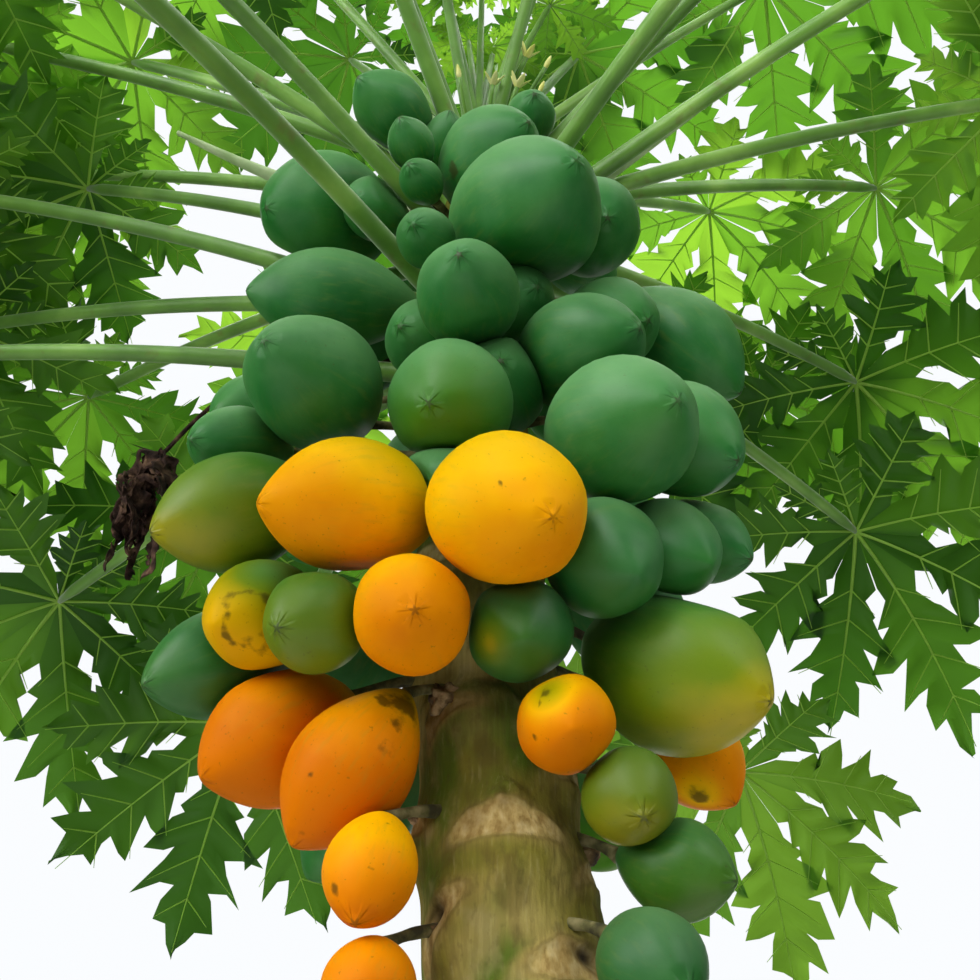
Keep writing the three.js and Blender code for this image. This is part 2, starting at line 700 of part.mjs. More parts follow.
function place(group, name, solid, root, colour, roughness) {
  const material = new THREE.MeshStandardMaterial({ color: colour, roughness, metalness: 0 });
  const mesh = new THREE.Mesh(geometryOf(solid).translate(-root.x, -root.y, -root.z), material);
  mesh.name = name;
  mesh.position.copy(root);
  group.add(mesh);
}

function numbered(name, k) {
  return `${name}_${String(k + 1).padStart(2, '0')}`;
}

place(plant, 'trunk', trunk, new THREE.Vector3(), COLOURS.bark, ROUGHNESS.bark);

leaves.forEach((leaf, k) => {
  const solid = largest(leaf.solid.subtract(trunkSpace));
  place(leafGroup, numbered('leaf', k), solid, leaf.root, COLOURS.leaf, ROUGHNESS.leaf);
});

const crownTip = youngLeaves.reduce((solid, leaf) => solid.add(leaf.solid), bud).subtract(trunkSpace);
place(leafGroup, 'young_leaves', largest(crownTip), trunkAxis(TRUNK_HEIGHT), COLOURS.young, ROUGHNESS.leaf);
const witheredLeaf = largest(deadLeaf.subtract(trunkSpace));
place(leafGroup, 'dead_leaf', witheredLeaf, trunkAxis(DEAD_LEAF.root), COLOURS.dead, ROUGHNESS.bark);

stalks.forEach(({ cluster, solid: stalk }, k) => {
  const whole = cluster.reduce((all, fruit) => all.add(pressedSolid(fruit)), stalk);
  const biggest = cluster.reduce((best, fruit) => (fruit.length > best.length ? fruit : best));
  const colour = COLOURS[biggest.tone];
  const solid = largest(whole.subtract(trunkSpace));
  place(fruitGroup, numbered('fruits', k), solid, cluster[0].stem, colour, ROUGHNESS.fruit);
});

export default plant;
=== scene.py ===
# %% [markdown]
# # A papaya plant in full fruit, seen from under its crown
#
# A papaya isn't a tree with branches. One soft trunk carries a spiral of long-stalked leaves at
# its top, and a fruit hangs from the place of each older leaf, so the fruits stand in a column
# pressed against one another. This lesson dresses a plain solid model of such a plant: every
# form is made again, finer, in the place that the solid gives, and then gets its finish.

# %% Load the frame
import json
import math

import bmesh
import bpy
import numpy as np
from mathutils import Matrix, Vector, noise


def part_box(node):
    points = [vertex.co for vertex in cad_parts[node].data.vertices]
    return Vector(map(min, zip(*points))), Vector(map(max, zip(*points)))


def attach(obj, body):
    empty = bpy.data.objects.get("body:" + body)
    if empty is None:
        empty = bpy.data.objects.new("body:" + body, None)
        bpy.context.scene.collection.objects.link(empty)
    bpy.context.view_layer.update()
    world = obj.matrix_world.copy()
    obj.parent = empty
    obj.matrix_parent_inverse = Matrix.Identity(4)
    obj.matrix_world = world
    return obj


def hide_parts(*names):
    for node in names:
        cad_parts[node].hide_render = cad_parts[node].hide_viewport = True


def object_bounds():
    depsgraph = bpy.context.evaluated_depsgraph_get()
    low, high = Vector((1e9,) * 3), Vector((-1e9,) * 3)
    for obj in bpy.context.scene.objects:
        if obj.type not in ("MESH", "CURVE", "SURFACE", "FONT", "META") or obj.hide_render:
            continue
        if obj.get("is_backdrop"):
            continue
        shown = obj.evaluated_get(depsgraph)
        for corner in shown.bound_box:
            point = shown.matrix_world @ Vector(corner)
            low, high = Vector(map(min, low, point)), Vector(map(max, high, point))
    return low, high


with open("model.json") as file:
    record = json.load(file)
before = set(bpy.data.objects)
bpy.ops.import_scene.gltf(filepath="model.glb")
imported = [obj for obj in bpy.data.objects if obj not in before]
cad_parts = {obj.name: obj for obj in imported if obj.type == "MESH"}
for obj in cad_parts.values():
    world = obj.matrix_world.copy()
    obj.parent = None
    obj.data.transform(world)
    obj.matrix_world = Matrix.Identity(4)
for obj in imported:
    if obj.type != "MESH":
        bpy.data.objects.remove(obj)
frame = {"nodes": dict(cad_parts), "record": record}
CAD_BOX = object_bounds()
print("solids loaded:", len(frame["nodes"]))
print("box", [[round(c, 3) for c in corner] for corner in CAD_BOX])

# %% [markdown]
# Growth is easier to write in millimetres and in headings than in metres and axes. A heading is
# an azimuth, counted from the front of the plant towards its right, and a pitch above level.
# Every random choice comes from one small generator with its own seed, so the plant is the same
# each time.

# %% Directions and seeded chance
MM = 0.001
WORD, STRIDE = 0xFFFFFFFF, 0x6D2B79F5


def heading(azimuth, pitch):
    """A unit direction from an azimuth and a pitch in degrees."""
    turn, lift = math.radians(azimuth), math.radians(pitch)
    return Vector((math.sin(turn) * math.cos(lift), -math.cos(turn) * math.cos(lift), math.sin(lift)))


def chance(seed):
    """A generator of numbers from 0 to 1, the same one that set the solids out."""
    state = seed
    while True:
        state = (state + STRIDE) & WORD
        mixed = ((state ^ (state >> 15)) * (1 | state)) & WORD
        mixed ^= (mixed + (((mixed ^ (mixed >> 7)) * (61 | mixed)) & WORD)) & WORD
        yield (mixed ^ (mixed >> 14)) / (WORD + 1)


def between(low, high, source):
    return low + (high - low) * next(source)


print("first draws:", [round(next(source), 3) for source in [chance(7), chance(8)]])

# %% [markdown]
# The trunk's own rule comes first, because fruits and leaves are set out from it: a radius that
# tapers to the tip and flares at the ground, and an axis that leans to one side on its way up.

# %% The trunk's taper and lean
TRUNK_HEIGHT = 2900
TRUNK_TIP_RADIUS = 30
TRUNK_TAPER = 72
TAPER_POWER = 0.4
FLARE_RADIUS = 48
FLARE_HEIGHT = 110
LEAN = -140
LEAN_HEIGHT = 2400
FRUITING_HEIGHT = 1700


def lean_at(z):
    share = np.clip(z / LEAN_HEIGHT, 0, 1)
    return LEAN * share * share * (3 - 2 * share)


def trunk_radius(z):
    left = np.clip(1 - z / TRUNK_HEIGHT, 0, 1)
    flare = FLARE_RADIUS * np.exp(-z / FLARE_HEIGHT)
    return TRUNK_TIP_RADIUS + TRUNK_TAPER * left ** TAPER_POWER + flare


def trunk_axis(z):
    return Vector((float(lean_at(z)), 0, z))


print("trunk radius at ground, mm:", round(trunk_radius(0)))
print("trunk radius among the fruits, mm:", round(trunk_radius(FRUITING_HEIGHT)))

# %% [markdown]
# Colours are written the way a paint chart gives them and turned into the linear light that a
# shader adds up. A small class writes nodes into a tree, so that a finish can be read like a
# recipe: each line takes numbers, colours or the outputs of earlier nodes.

# %% Helpers for finishes
SRGB_KNEE, SRGB_SLOPE, SRGB_OFFSET, SRGB_POWER = 0.04045, 12.92, 0.055, 2.4
PLAIN = (1, 1, 1)


def paint(red, green, blue):
    """A colour from 0 to 255 a channel, as linear light."""
    light = []
    for channel in (red / 255, green / 255, blue / 255):
        bent = ((channel + SRGB_OFFSET) / (1 + SRGB_OFFSET)) ** SRGB_POWER
        light.append(channel / SRGB_SLOPE if channel <= SRGB_KNEE else bent)
    return (*light, 1)


class Nodes:
    """Writes nodes into one tree; a value is a number, a colour or a node's output."""

    def __init__(self, tree):
        self.tree = tree

    def feed(self, target, value):
        """Links a node's output to the target, or writes a plain value on it."""
        if isinstance(value, bpy.types.NodeSocket):
            self.tree.links.new(value, target)
        else:
            target.default_value = value

    def place(self, kind, values=None, **settings):
        """A new node with its settings, and its inputs fed by name or number."""
        node = self.tree.nodes.new(kind)
        for name, setting in settings.items():
            setattr(node, name, setting)
        for socket, value in (values or {}).items():
            self.feed(node.inputs[socket], value)
        return node

    def math(self, operation, first, second=0.0):
        return self.place("ShaderNodeMath", {0: first, 1: second}, operation=operation).outputs[0]

    def times(self, first, second):
        return self.math("MULTIPLY", first, second)

    def plus(self, first, second):
        return self.math("ADD", first, second)

    def minus(self, first, second):
        return self.math("SUBTRACT", first, second)

    def rise(self, value, low, high, shape="SMOOTHSTEP"):
        """0 below low, 1 above high, and even between them; low may be above high."""
        values = {"Value": value, "From Min": low, "From Max": high}
        return self.place("ShaderNodeMapRange", values, interpolation_type=shape).outputs["Result"]

    def mix(self, factor, first, second):
        """The first colour where the factor is 0, the second where it is 1."""
        node = self.place("ShaderNodeMix", {"Factor": factor}, data_type="RGBA")
        for target, value in zip([s for s in node.inputs if s.type == "RGBA"], (first, second)):
            self.feed(target, value)
        return [s for s in node.outputs if s.type == "RGBA"][0]

    def ramp(self, factor, stops):
        """A colour ramp with the given places and colours."""
        node = self.place("ShaderNodeValToRGB", {"Fac": factor})
        band = node.color_ramp
        while len(band.elements) < len(stops):
            band.elements.new(0.5)
        for element, (position, colour) in zip(band.elements, stops):
            element.position = position
            element.color = colour
        return node.outputs["Color"]

    def note(self, name, output="Fac"):
        """What a note on the mesh's points says."""
        return self.place("ShaderNodeAttribute", attribute_name=name).outputs[output]

    def bump(self, shader, height, strength, distance):
        """Lets a height shape the shader's normal."""
        values = {"Strength": strength, "Distance": distance, "Height": height}
        self.feed(shader.inputs["Normal"], self.place("ShaderNodeBump", values).outputs["Normal"])

    def group(self, name, **values):
        """The outputs of a node group that is placed with its own values."""
        return self.place("ShaderNodeGroup", values, node_tree=bpy.data.node_groups[name]).outputs

    def cloud(self, scale, detail=3.0, stretch=PLAIN):
        """Noise over the piece; stretch squeezes it along the axes."""
        return self.group("cloud", Scale=scale, Detail=detail, Stretch=stretch)["Cloud"]

    def over(self, base, mask, share, colour):
        """A colour laid over the base where the mask is high, by a share."""
        return self.group("colour_over", Base=base, Mask=mask, Share=share, Colour=colour)["Color"]

    def dapple(self, scale, detail, stops, stretch=PLAIN):
        """Two or three colours that a cloud deals out: its Color and its Cloud."""
        stops = [(0.0, stops[0][1])] * (3 - len(stops)) + stops
        values = {}
        for name, (position, colour) in zip(("Dark", "Middle", "Pale"), stops):
            values[name], values[name + "_At"] = colour, position
        return self.group("dapple", Scale=scale, Detail=detail, Stretch=stretch, **values)


def start_material(name, roughness):
    """A new material, what writes its nodes, and its shader."""
    material = bpy.data.materials.new(name)
    material.use_nodes = True
    shader = material.node_tree.nodes["Principled BSDF"]
    shader.inputs["Roughness"].default_value = roughness
    return material, Nodes(material.node_tree), shader


print("leaf green as linear light:", [round(c, 3) for c in paint(48, 94, 22)])

# %% [markdown]
# Three effects come back in most of the finishes: a cloud of noise on the piece's own
# coordinates, colours that such a cloud deals out, and a colour laid over another. Each is a node
# group with named sockets, built once here and placed in each material with its own values.

# %% Effects that the finishes share
CLOUD_INPUTS = {"Scale": "Float", "Detail": "Float", "Stretch": "Vector"}


def new_group(name, inputs, outputs):
    """An empty node group: what writes its nodes, what comes in and what goes out."""
    group = bpy.data.node_groups.new(name, "ShaderNodeTree")
    for in_out, sockets in (("INPUT", inputs), ("OUTPUT", outputs)):
        for socket, kind in sockets.items():
            group.interface.new_socket(socket, in_out=in_out, socket_type="NodeSocket" + kind)
    nodes = Nodes(group)
    return nodes, nodes.place("NodeGroupInput").outputs, nodes.place("NodeGroupOutput").inputs


def build_cloud():
    nodes, given, result = new_group("cloud", CLOUD_INPUTS, {"Cloud": "Float"})
    spot = nodes.place("ShaderNodeTexCoord").outputs["Object"]
    mapping = nodes.place("ShaderNodeMapping", {"Vector": spot, "Scale": given["Stretch"]})
    values = {"Vector": mapping.outputs["Vector"], "Scale": given["Scale"], "Detail": given["Detail"]}
    nodes.feed(result["Cloud"], nodes.place("ShaderNodeTexNoise", values).outputs["Fac"])


def build_colour_over():
    inputs = {"Base": "Color", "Mask": "Float", "Share": "Float", "Colour": "Color"}
    nodes, given, result = new_group("colour_over", inputs, {"Color": "Color"})
    factor = nodes.times(given["Mask"], given["Share"])
    nodes.feed(result["Color"], nodes.mix(factor, given["Base"], given["Colour"]))


def build_dapple():
    inputs = dict(CLOUD_INPUTS)
    for name in ("Dark", "Middle", "Pale"):
        inputs[name], inputs[name + "_At"] = "Color", "Float"
    nodes, given, result = new_group("dapple", inputs, {"Color": "Color", "Cloud": "Float"})
    cloud = nodes.cloud(given["Scale"], given["Detail"], given["Stretch"])
    to_middle = nodes.rise(cloud, given["Dark_At"], given["Middle_At"], "LINEAR")
    to_pale = nodes.rise(cloud, given["Middle_At"], given["Pale_At"], "LINEAR")
    darker = nodes.mix(to_middle, given["Dark"], given["Middle"])
    nodes.feed(result["Color"], nodes.mix(to_pale, darker, given["Pale"]))
    nodes.feed(result["Cloud"], cloud)


def dappled_material(name, roughness, cloud, stops, relief=None):
    """A finish of two or three dealt colours; relief is a cloud's numbers, strength and depth."""
    material, nodes, shader = start_material(name, roughness)
    nodes.feed(shader.inputs["Base Color"], nodes.dapple(*cloud, stops)["Color"])
    if relief:
        scale, detail, strength, depth = relief
        nodes.bump(shader, nodes.cloud(scale, detail), strength, depth)
    return material, nodes, shader


build_cloud()
build_colour_over()
build_dapple()
print("node groups:", [group.name for group in bpy.data.node_groups])

# %% [markdown]
# The camera stands close under the plant and looks up at it. Knowing where it stands while the
# plant is being made also helps to judge which details will be seen. The air itself gives soft
# light, most of it from above; only the camera sees it white.

# %% Camera, air and floor
CAMERA_PLACE = Vector((-0.12, -0.985, 1.35))
CAMERA_LIFT = math.radians(38)
CAMERA_LENS, CAMERA_SENSOR = 36.9, 36
AIR_COLOUR = (0.96, 0.98, 1.0, 1)
SKY_LIGHT, GROUND_LIGHT = 0.38, 0.05
GROUND_BELOW, SKY_ABOVE = -0.2, 0.5
FLOOR_SIZE = 2.4

camera_data = bpy.data.cameras.new("camera")
camera_data.lens = CAMERA_LENS
camera_data.sensor_width = CAMERA_SENSOR
camera = bpy.data.objects.new("camera", camera_data)
camera.location = CAMERA_PLACE
camera.rotation_euler = (math.pi / 2 + CAMERA_LIFT, 0, 0)
bpy.context.scene.collection.objects.link(camera)
bpy.context.scene.camera = camera

world = bpy.data.worlds.new("studio")
world.use_nodes = True
air = Nodes(world.node_tree)
backdrop = world.node_tree.nodes["Background"]
direction = air.place("ShaderNodeTexCoord").outputs["Generated"]
height = air.place("ShaderNodeSeparateXYZ", {"Vector": direction}).outputs["Z"]
by_height = air.place("ShaderNodeMapRange", {
    "Value": height, "From Min": GROUND_BELOW, "From Max": SKY_ABOVE,
    "To Min": GROUND_LIGHT, "To Max": SKY_LIGHT,
}).outputs["Result"]
seen = air.place("ShaderNodeLightPath").outputs["Is Camera Ray"]
white = air.place("ShaderNodeMapRange", {"Value": seen, "To Min": by_height, "To Max": 1.0})
air.feed(backdrop.inputs["Color"], AIR_COLOUR)
air.feed(backdrop.inputs["Strength"], white.outputs["Result"])
bpy.context.scene.world = world
bpy.context.scene.view_settings.view_transform = "Standard"

floor_bm = bmesh.new()
bmesh.ops.create_grid(floor_bm, x_segments=1, y_segments=1, size=FLOOR_SIZE)
floor_mesh = bpy.data.meshes.new("floor")
floor_bm.to_mesh(floor_mesh)
floor_bm.free()
floor = bpy.data.objects.new("floor", floor_mesh)
bpy.context.scene.collection.objects.link(floor)
floor_paint, _, floor_shader = start_material("pale_floor", 0.9)
floor_shader.inputs["Base Color"].default_value = (0.55, 0.55, 0.53, 1)
floor_mesh.materials.append(floor_paint)
floor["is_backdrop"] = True
print("camera at", tuple(round(c, 3) for c in camera.location))
print("looking up, degrees:", round(math.degrees(CAMERA_LIFT)))

# %% [markdown]
# Under a crown the light is soft and comes from all sides, strongest from above and from one
# side. Large square lamps do that: the larger a lamp, the softer its shadows.

# %% Lamps
# Name, place, the point it looks at, size and power.
LAMPS = [
    ("key", (-2.0, -2.7, 4.0), (-0.1, 0, 2.1), 2.8, 175),
    ("sky", (0.0, 0.4, 6.4), (0, 0, 2.5), 5.0, 470),
    ("left_fill", (-2.7, -1.6, 2.6), (0, 0, 2.1), 1.8, 50),
    ("front_fill", (-0.7, -2.6, 2.7), (0.1, 0, 2.0), 1.6, 24),
    ("right_fill", (2.2, -2.1, 3.8), (0, 0, 2.2), 2.2, 55),
    ("back", (1.0, 6.0, 3.4), (0, 0, 2.3), 5.0, 170),
]

for name, place, aim, size, power in LAMPS:
    data = bpy.data.lights.new(name, "AREA")
    data.size = size
    data.energy = power
    lamp = bpy.data.objects.new(name, data)
    lamp.location = place
    lamp.rotation_euler = (Vector(aim) - Vector(place)).to_track_quat("-Z", "Y").to_euler()
    lamp.visible_camera = False
    bpy.context.scene.collection.objects.link(lamp)
print("lamps:", len(LAMPS))

# %% [markdown]
# A few helpers do the work that every piece needs. `add` copies one mesh into another, `limb`
# turns a plain cylinder into a stalk along any curve, and `finish_piece` scales a mesh from
# millimetres to metres, gives it its finish, hangs it on the plant's body and hides the solids
# it replaces.

# %% Helpers for making pieces
def add(target, part):
    """Copies the bmesh part into target and lets the part go; returns the new vertices."""
    mesh = bpy.data.meshes.new("part")
    part.to_mesh(mesh)
    part.free()
    before = len(target.verts)
    target.from_mesh(mesh)
    bpy.data.meshes.remove(mesh)
    target.verts.ensure_lookup_table()
    return target.verts[before:]


def paint_faces(verts, slot):
    """Gives the faces of these vertices a material slot."""
    for vert in verts:
        for face in vert.link_faces:
            face.material_index = slot


LOOK_AHEAD = 0.01
# A direction that no limb follows, so that its rings never twist.
OFF_AXIS = Vector((0.13, 0.21, 0.97))


def limb(point_at, radius_at, sides, steps, cap=True):
    """A round limb along a curve that runs from 0 to 1."""
    bm = bmesh.new()
    bmesh.ops.create_cone(bm, cap_ends=cap, segments=sides, radius1=1, radius2=1, depth=1)
    uprights = [e for e in bm.edges if abs(e.verts[0].co.z - e.verts[1].co.z) > 0.5]
    bmesh.ops.subdivide_edges(bm, edges=uprights, cuts=steps - 1)
    rings = {}
    for vert in bm.verts:
        rings.setdefault(round((vert.co.z + 0.5) * steps), []).append(vert)
    for ring, verts in rings.items():
        t = ring / steps
        run = point_at(min(t + LOOK_AHEAD, 1)) - point_at(max(t - LOOK_AHEAD, 0))
        ahead = run.normalized()
        side = ahead.cross(OFF_AXIS).normalized()
        over = side.cross(ahead)
        middle, radius = point_at(t), radius_at(t)
        for vert in verts:
            vert.co = middle + (side * vert.co.x + over * vert.co.y) * radius
    bmesh.ops.recalc_face_normals(bm, faces=bm.faces)
    return bm


def finish_piece(name, bm, materials, slot, replaces=()):
    """Turns a bmesh in millimetres into a piece of the plant."""
    bmesh.ops.scale(bm, vec=(MM, MM, MM), verts=bm.verts)
    mesh = bpy.data.meshes.new(name)
    bm.to_mesh(mesh)
    bm.free()
    mesh.shade_smooth()
    for material in materials:
        mesh.materials.append(material)
    piece = bpy.data.objects.new(name, mesh)
    bpy.context.scene.collection.objects.link(piece)
    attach(piece, "root")
    if replaces:
        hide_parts(*replaces)
    print(name, "triangles", sum(len(face.vertices) - 2 for face in mesh.polygons))


# %% [markdown]
# ## The trunk
#
# A papaya's trunk keeps the mark of every leaf it has dropped: a broad, corky crescent on a low
# shoulder, set in a spiral like the leaves were. The marks could be painted on with bump alone,
# but from this close the shoulders stand against the light, so they are real relief. A cylinder
# is cut lengthwise into rings, closest where the camera looks, and each point is moved out or in
# by one rule. The rule also notes how many millimetres inside a scar the place lies. Such a
# distance changes evenly from point to point, so the finish can draw a crisp edge between them.

# %% The trunk's scars
# Scars that show from the front: height, azimuth, width, tilt in degrees, depth of the hollow.
FRONT_SCARS = [
    (1672, 2, 104, 0, 0), (1789, -36, 60, -28, 0), (1590, -46, 84, -52, 12), (1556, 42, 104, 6, 12),
    (1640, 74, 70, 0, 0), (1735, 66, 66, 0, 0), (1690, -84, 80, 0, 0), (1590, 96, 76, 0, 0),
    (1500, -8, 96, 0, 0), (1455, 34, 96, 0, 0), (1420, -45, 92, 0, 0),
]
# Small knobs of the bark: height, azimuth, radius, how far they stand out.
KNOBS = [
    (1703, 5, 11, 10), (1694, -3, 8, 5), (1697, 13, 8, 6), (1786, -50, 10, 6), (1574, 50, 12, 7),
    (1622, -40, 10, 6), (1652, 40, 26, 5),
]
GOLDEN_ANGLE = 137.508
SCAR_STEP = 44
SCAR_CLEARANCE = 92
LEAST_SCAR_HEIGHT = 60
WHOLE_SCARS = 0.8
HOLLOW_DEPTH = 8


def turn_between(azimuth, other):
    """The turn from one azimuth to another, from -180 to 180 degrees."""
    return (azimuth - other + 180) % 360 - 180


def all_scars():
    scars = list(FRONT_SCARS)
    source = chance(21)
    for n in range(int((TRUNK_HEIGHT - 2 * LEAST_SCAR_HEIGHT) / SCAR_STEP)):
        height = LEAST_SCAR_HEIGHT + n * SCAR_STEP
        azimuth = turn_between(n * GOLDEN_ANGLE, 0)
        width = between(74, 108, source) * trunk_radius(height) / trunk_radius(FRUITING_HEIGHT)
        depth = 0 if next(source) < WHOLE_SCARS else HOLLOW_DEPTH
        tilt = between(-10, 10, source)
        per_degree = math.radians(1) * trunk_radius(height)
        clear = all(
            math.hypot(height - row[0], turn_between(azimuth, row[1]) * per_degree) > SCAR_CLEARANCE
            for row in FRONT_SCARS
        )
        if clear:
            scars.append((height, azimuth, width, tilt, depth))
    return scars


scars = all_scars()
print("leaf scars on the trunk:", len(scars))

# %% The trunk's relief
# A scar is an arched lens; arch and half height are shares of half its width.
SCAR_ARCH, SCAR_HALF, SCAR_LIFT = 0.28, 0.33, 0.3
SHOULDER_HEIGHT = 15
LIP_HEIGHT, LIP_WIDTH = 1.6, 2.4
SCAR_DEPTH, GROOVE_DEPTH = 1.8, 1.4
FLARE_LOBES, FLARE_LOBE_DEPTH = 4, 7
SCAR_FADE = 14
# Above this height the front of the trunk steps back between the fruits, lower down on the right.
STEP_HEIGHT, STEP_RUN, STEP_SLANT, STEP_DEPTH = 1806, 34, 46, 17
STEP_ENDS = (1990, 2120)
STEP_TURN = 8


def smooth_step(low, high, value):
    share = np.clip((value - low) / (high - low), 0, 1)
    return share * share * (3 - 2 * share)


def hill(value, width, middle=0.0):
    """1 at the middle, and falling away on both sides of it."""
    return np.exp(-((value - middle) / width) ** 2)


def around(angle, z, height, azimuth):
    """Millimetres round the trunk and up it from one place on its skin."""
    turn = (angle - math.radians(azimuth) + np.pi) % (2 * np.pi) - np.pi
    return turn * trunk_radius(z), z - height


def one_scar(angle, z, height, azimuth, width, tilt):
    """How far one scar moves each point, how far inside it the point lies, and where its hollow is."""
    side, rise = (2 / width * reach for reach in around(angle, z, height, azimuth))
    lean = math.radians(tilt)
    across = side * math.cos(lean) - rise * math.sin(lean)
    up = rise * math.cos(lean) + side * math.sin(lean)
    middle = SCAR_ARCH * (SCAR_LIFT - np.clip(across, -1.4, 1.4) ** 2)
    inside = (1 - np.hypot(across, (up - middle) / SCAR_HALF)) * SCAR_HALF * width / 2
    body = smooth_step(-1.5, 3, inside)
    lip = hill(inside, LIP_WIDTH, 0.5) * (up > middle)
    swelling = hill(across, 1.3 ** 0.5) * hill(up, 0.85, -0.30)
    below = hill(across, 0.8 ** 0.5) * hill(up - middle, 0.16, -2.1 * SCAR_HALF)
    raised = SHOULDER_HEIGHT * width / 100 * swelling + LIP_HEIGHT * lip
    core = hill(across, 0.26, 0.15) * hill(up - middle, 0.20, 0.12)
    return raised - SCAR_DEPTH * body - GROOVE_DEPTH * below, inside, core


def trunk_relief(angle, z):
    """How far the bark stands out, how far inside a scar it is, and how much painted shade its hollow
    gets.
    """
    out = FLARE_LOBE_DEPTH * np.cos(FLARE_LOBES * angle) * np.exp(-z / FLARE_HEIGHT)
    cork = np.full_like(z, -SCAR_FADE)
    hollow = np.zeros_like(z)
    for height, azimuth, width, tilt, depth in scars:
        moved, inside, core = one_scar(angle, z, height, azimuth, width, tilt)
        out += moved - depth * core
        cork = np.maximum(cork, inside)
        if depth > 0:
            hollow = np.maximum(hollow, core)
    for height, azimuth, size, stand in KNOBS:
        far = np.hypot(*around(angle, z, height, azimuth)) / size
        out += stand * (hill(far, 1) - 0.7 * hill(far, 0.4))
    front = smooth_step(0.1, 0.75, np.cos(angle + math.radians(STEP_TURN)))
    step_at = STEP_HEIGHT - STEP_SLANT * smooth_step(0.15, 0.75, np.sin(angle))
    stepped = smooth_step(step_at, step_at + STEP_RUN, z) * (1 - smooth_step(*STEP_ENDS, z))
    return out - STEP_DEPTH * front * stepped, cork, hollow


print("deepest hollow among the scars, mm:", max(depth for *_, depth in scars))

# %% [markdown]
# The relief now moves the points of a cylinder. Its rings stand closest among the fruits' lower
# tiers, where the camera sees bark, and the points carry the two notes for the finish.

# %% Make the trunk
LUMPS, LUMP_SCALE = 4.5, 0.011
WRINKLES, WRINKLE_SCALES = 0.6, (0.08, 0.08, 0.03)
TRUNK_SIDES = 200
# Where the rings' spacing changes, and how many rings each stretch gets.
RING_HEIGHTS, RING_COUNTS = (0, 1400, 1880, TRUNK_HEIGHT), (165, 150, 96)
# How much the bark's mean skin lies inside the trunk's own radius, and the tip's rounding.
BARK_INSET, TIP_INSET, TIP_ROUNDING = 3.5, 1.5, 20


def bark_swell(point):
    """Slow lumps and fine wrinkles of the bark."""
    fine = Vector([c * scale for c, scale in zip(point, WRINKLE_SCALES)])
    return LUMPS * noise.noise(point * LUMP_SCALE) + WRINKLES * noise.noise(fine)


def ring_heights():
    """Heights of the rings that cut the trunk."""
    stretches = zip(RING_HEIGHTS, RING_HEIGHTS[1:], RING_COUNTS)
    return np.concatenate([
        np.linspace(low, high, count, endpoint=high == TRUNK_HEIGHT) for low, high, count in stretches
    ])


def make_trunk():
    bm = bmesh.new()
    heights = ring_heights()
    cuts = len(heights) - 1
    bmesh.ops.create_cone(bm, cap_ends=True, segments=TRUNK_SIDES, radius1=1, radius2=1, depth=1)
    uprights = [e for e in bm.edges if abs(e.verts[0].co.z - e.verts[1].co.z) > 0.5]
    bmesh.ops.subdivide_edges(bm, edges=uprights, cuts=cuts - 1)
    cork_layer = bm.verts.layers.float.new("cork")
    hollow_layer = bm.verts.layers.float.new("hollow")
    angle = np.array([math.atan2(v.co.x, -v.co.y) for v in bm.verts])
    z = heights[np.array([round((v.co.z + 0.5) * cuts) for v in bm.verts])]
    out, cork, hollow = trunk_relief(angle, z)
    radius = trunk_radius(z) - BARK_INSET - TIP_INSET * hill(z, TIP_ROUNDING, TRUNK_HEIGHT)
    for vert, a, height, r, o, c, h in zip(bm.verts, angle, z, radius, out, cork, hollow):
        place = Vector((math.sin(a) * r, -math.cos(a) * r, height))
        r = r + o + bark_swell(place)
        vert.co = (float(lean_at(height)) + math.sin(a) * r, -math.cos(a) * r, height)
        vert[cork_layer] = c
        vert[hollow_layer] = h
    return bm


print("rings up the trunk:", len(ring_heights()))

# %% [markdown]
# The bark is olive and smooth, with soft green patches where the skin still works like a leaf,
# tan on the shoulders under the scars, and only faint upright hairlines. The scars are dry tan
# cork, mottled with brown. The two notes that the relief took mix those colours in, and lay a
# painted shade of near black in the hollows of a few scars.

# %% The bark's finish
RAGGED_EDGE = 20


def bark_colour(nodes, cork, blotches, hairs, grain):
    """Bark between the scars: dealt olives, with each layer's mask, share and colour over them."""
    olives = [(0.38, paint(90, 92, 22)), (0.50, paint(124, 116, 42)), (0.62, paint(164, 148, 84))]
    olive = nodes.dapple(6, 4, olives, (1, 1, 0.7))
    patches = nodes.cloud(9, 3, (1, 1, 0.6))
    tan = nodes.times(nodes.rise(cork, -13, 2), nodes.rise(olive["Cloud"], 0.3, 0.6))
    green = nodes.times(nodes.rise(patches, 0.44, 0.58), nodes.rise(cork, 0, -9))
    brown, worn = nodes.rise(blotches, 0.50, 0.68), nodes.rise(blotches, 0.46, 0.30)
    dark_hair, pale_hair = nodes.rise(hairs, 0.56, 0.40), nodes.rise(hairs, 0.58, 0.72)
    base = olive["Color"]
    for mask, share, colour in [
        (tan, 0.6, (158, 136, 78)), (green, 0.85, (66, 96, 12)), (brown, 0.48, (78, 60, 24)),
        (worn, 0.40, (168, 154, 104)), (dark_hair, 0.20, (78, 68, 28)),
        (pale_hair, 0.14, (184, 174, 124)), (nodes.rise(grain, 0.46, 0.32), 0.30, (82, 72, 34)),
    ]:
        base = nodes.over(base, mask, share, paint(*colour))
    return base


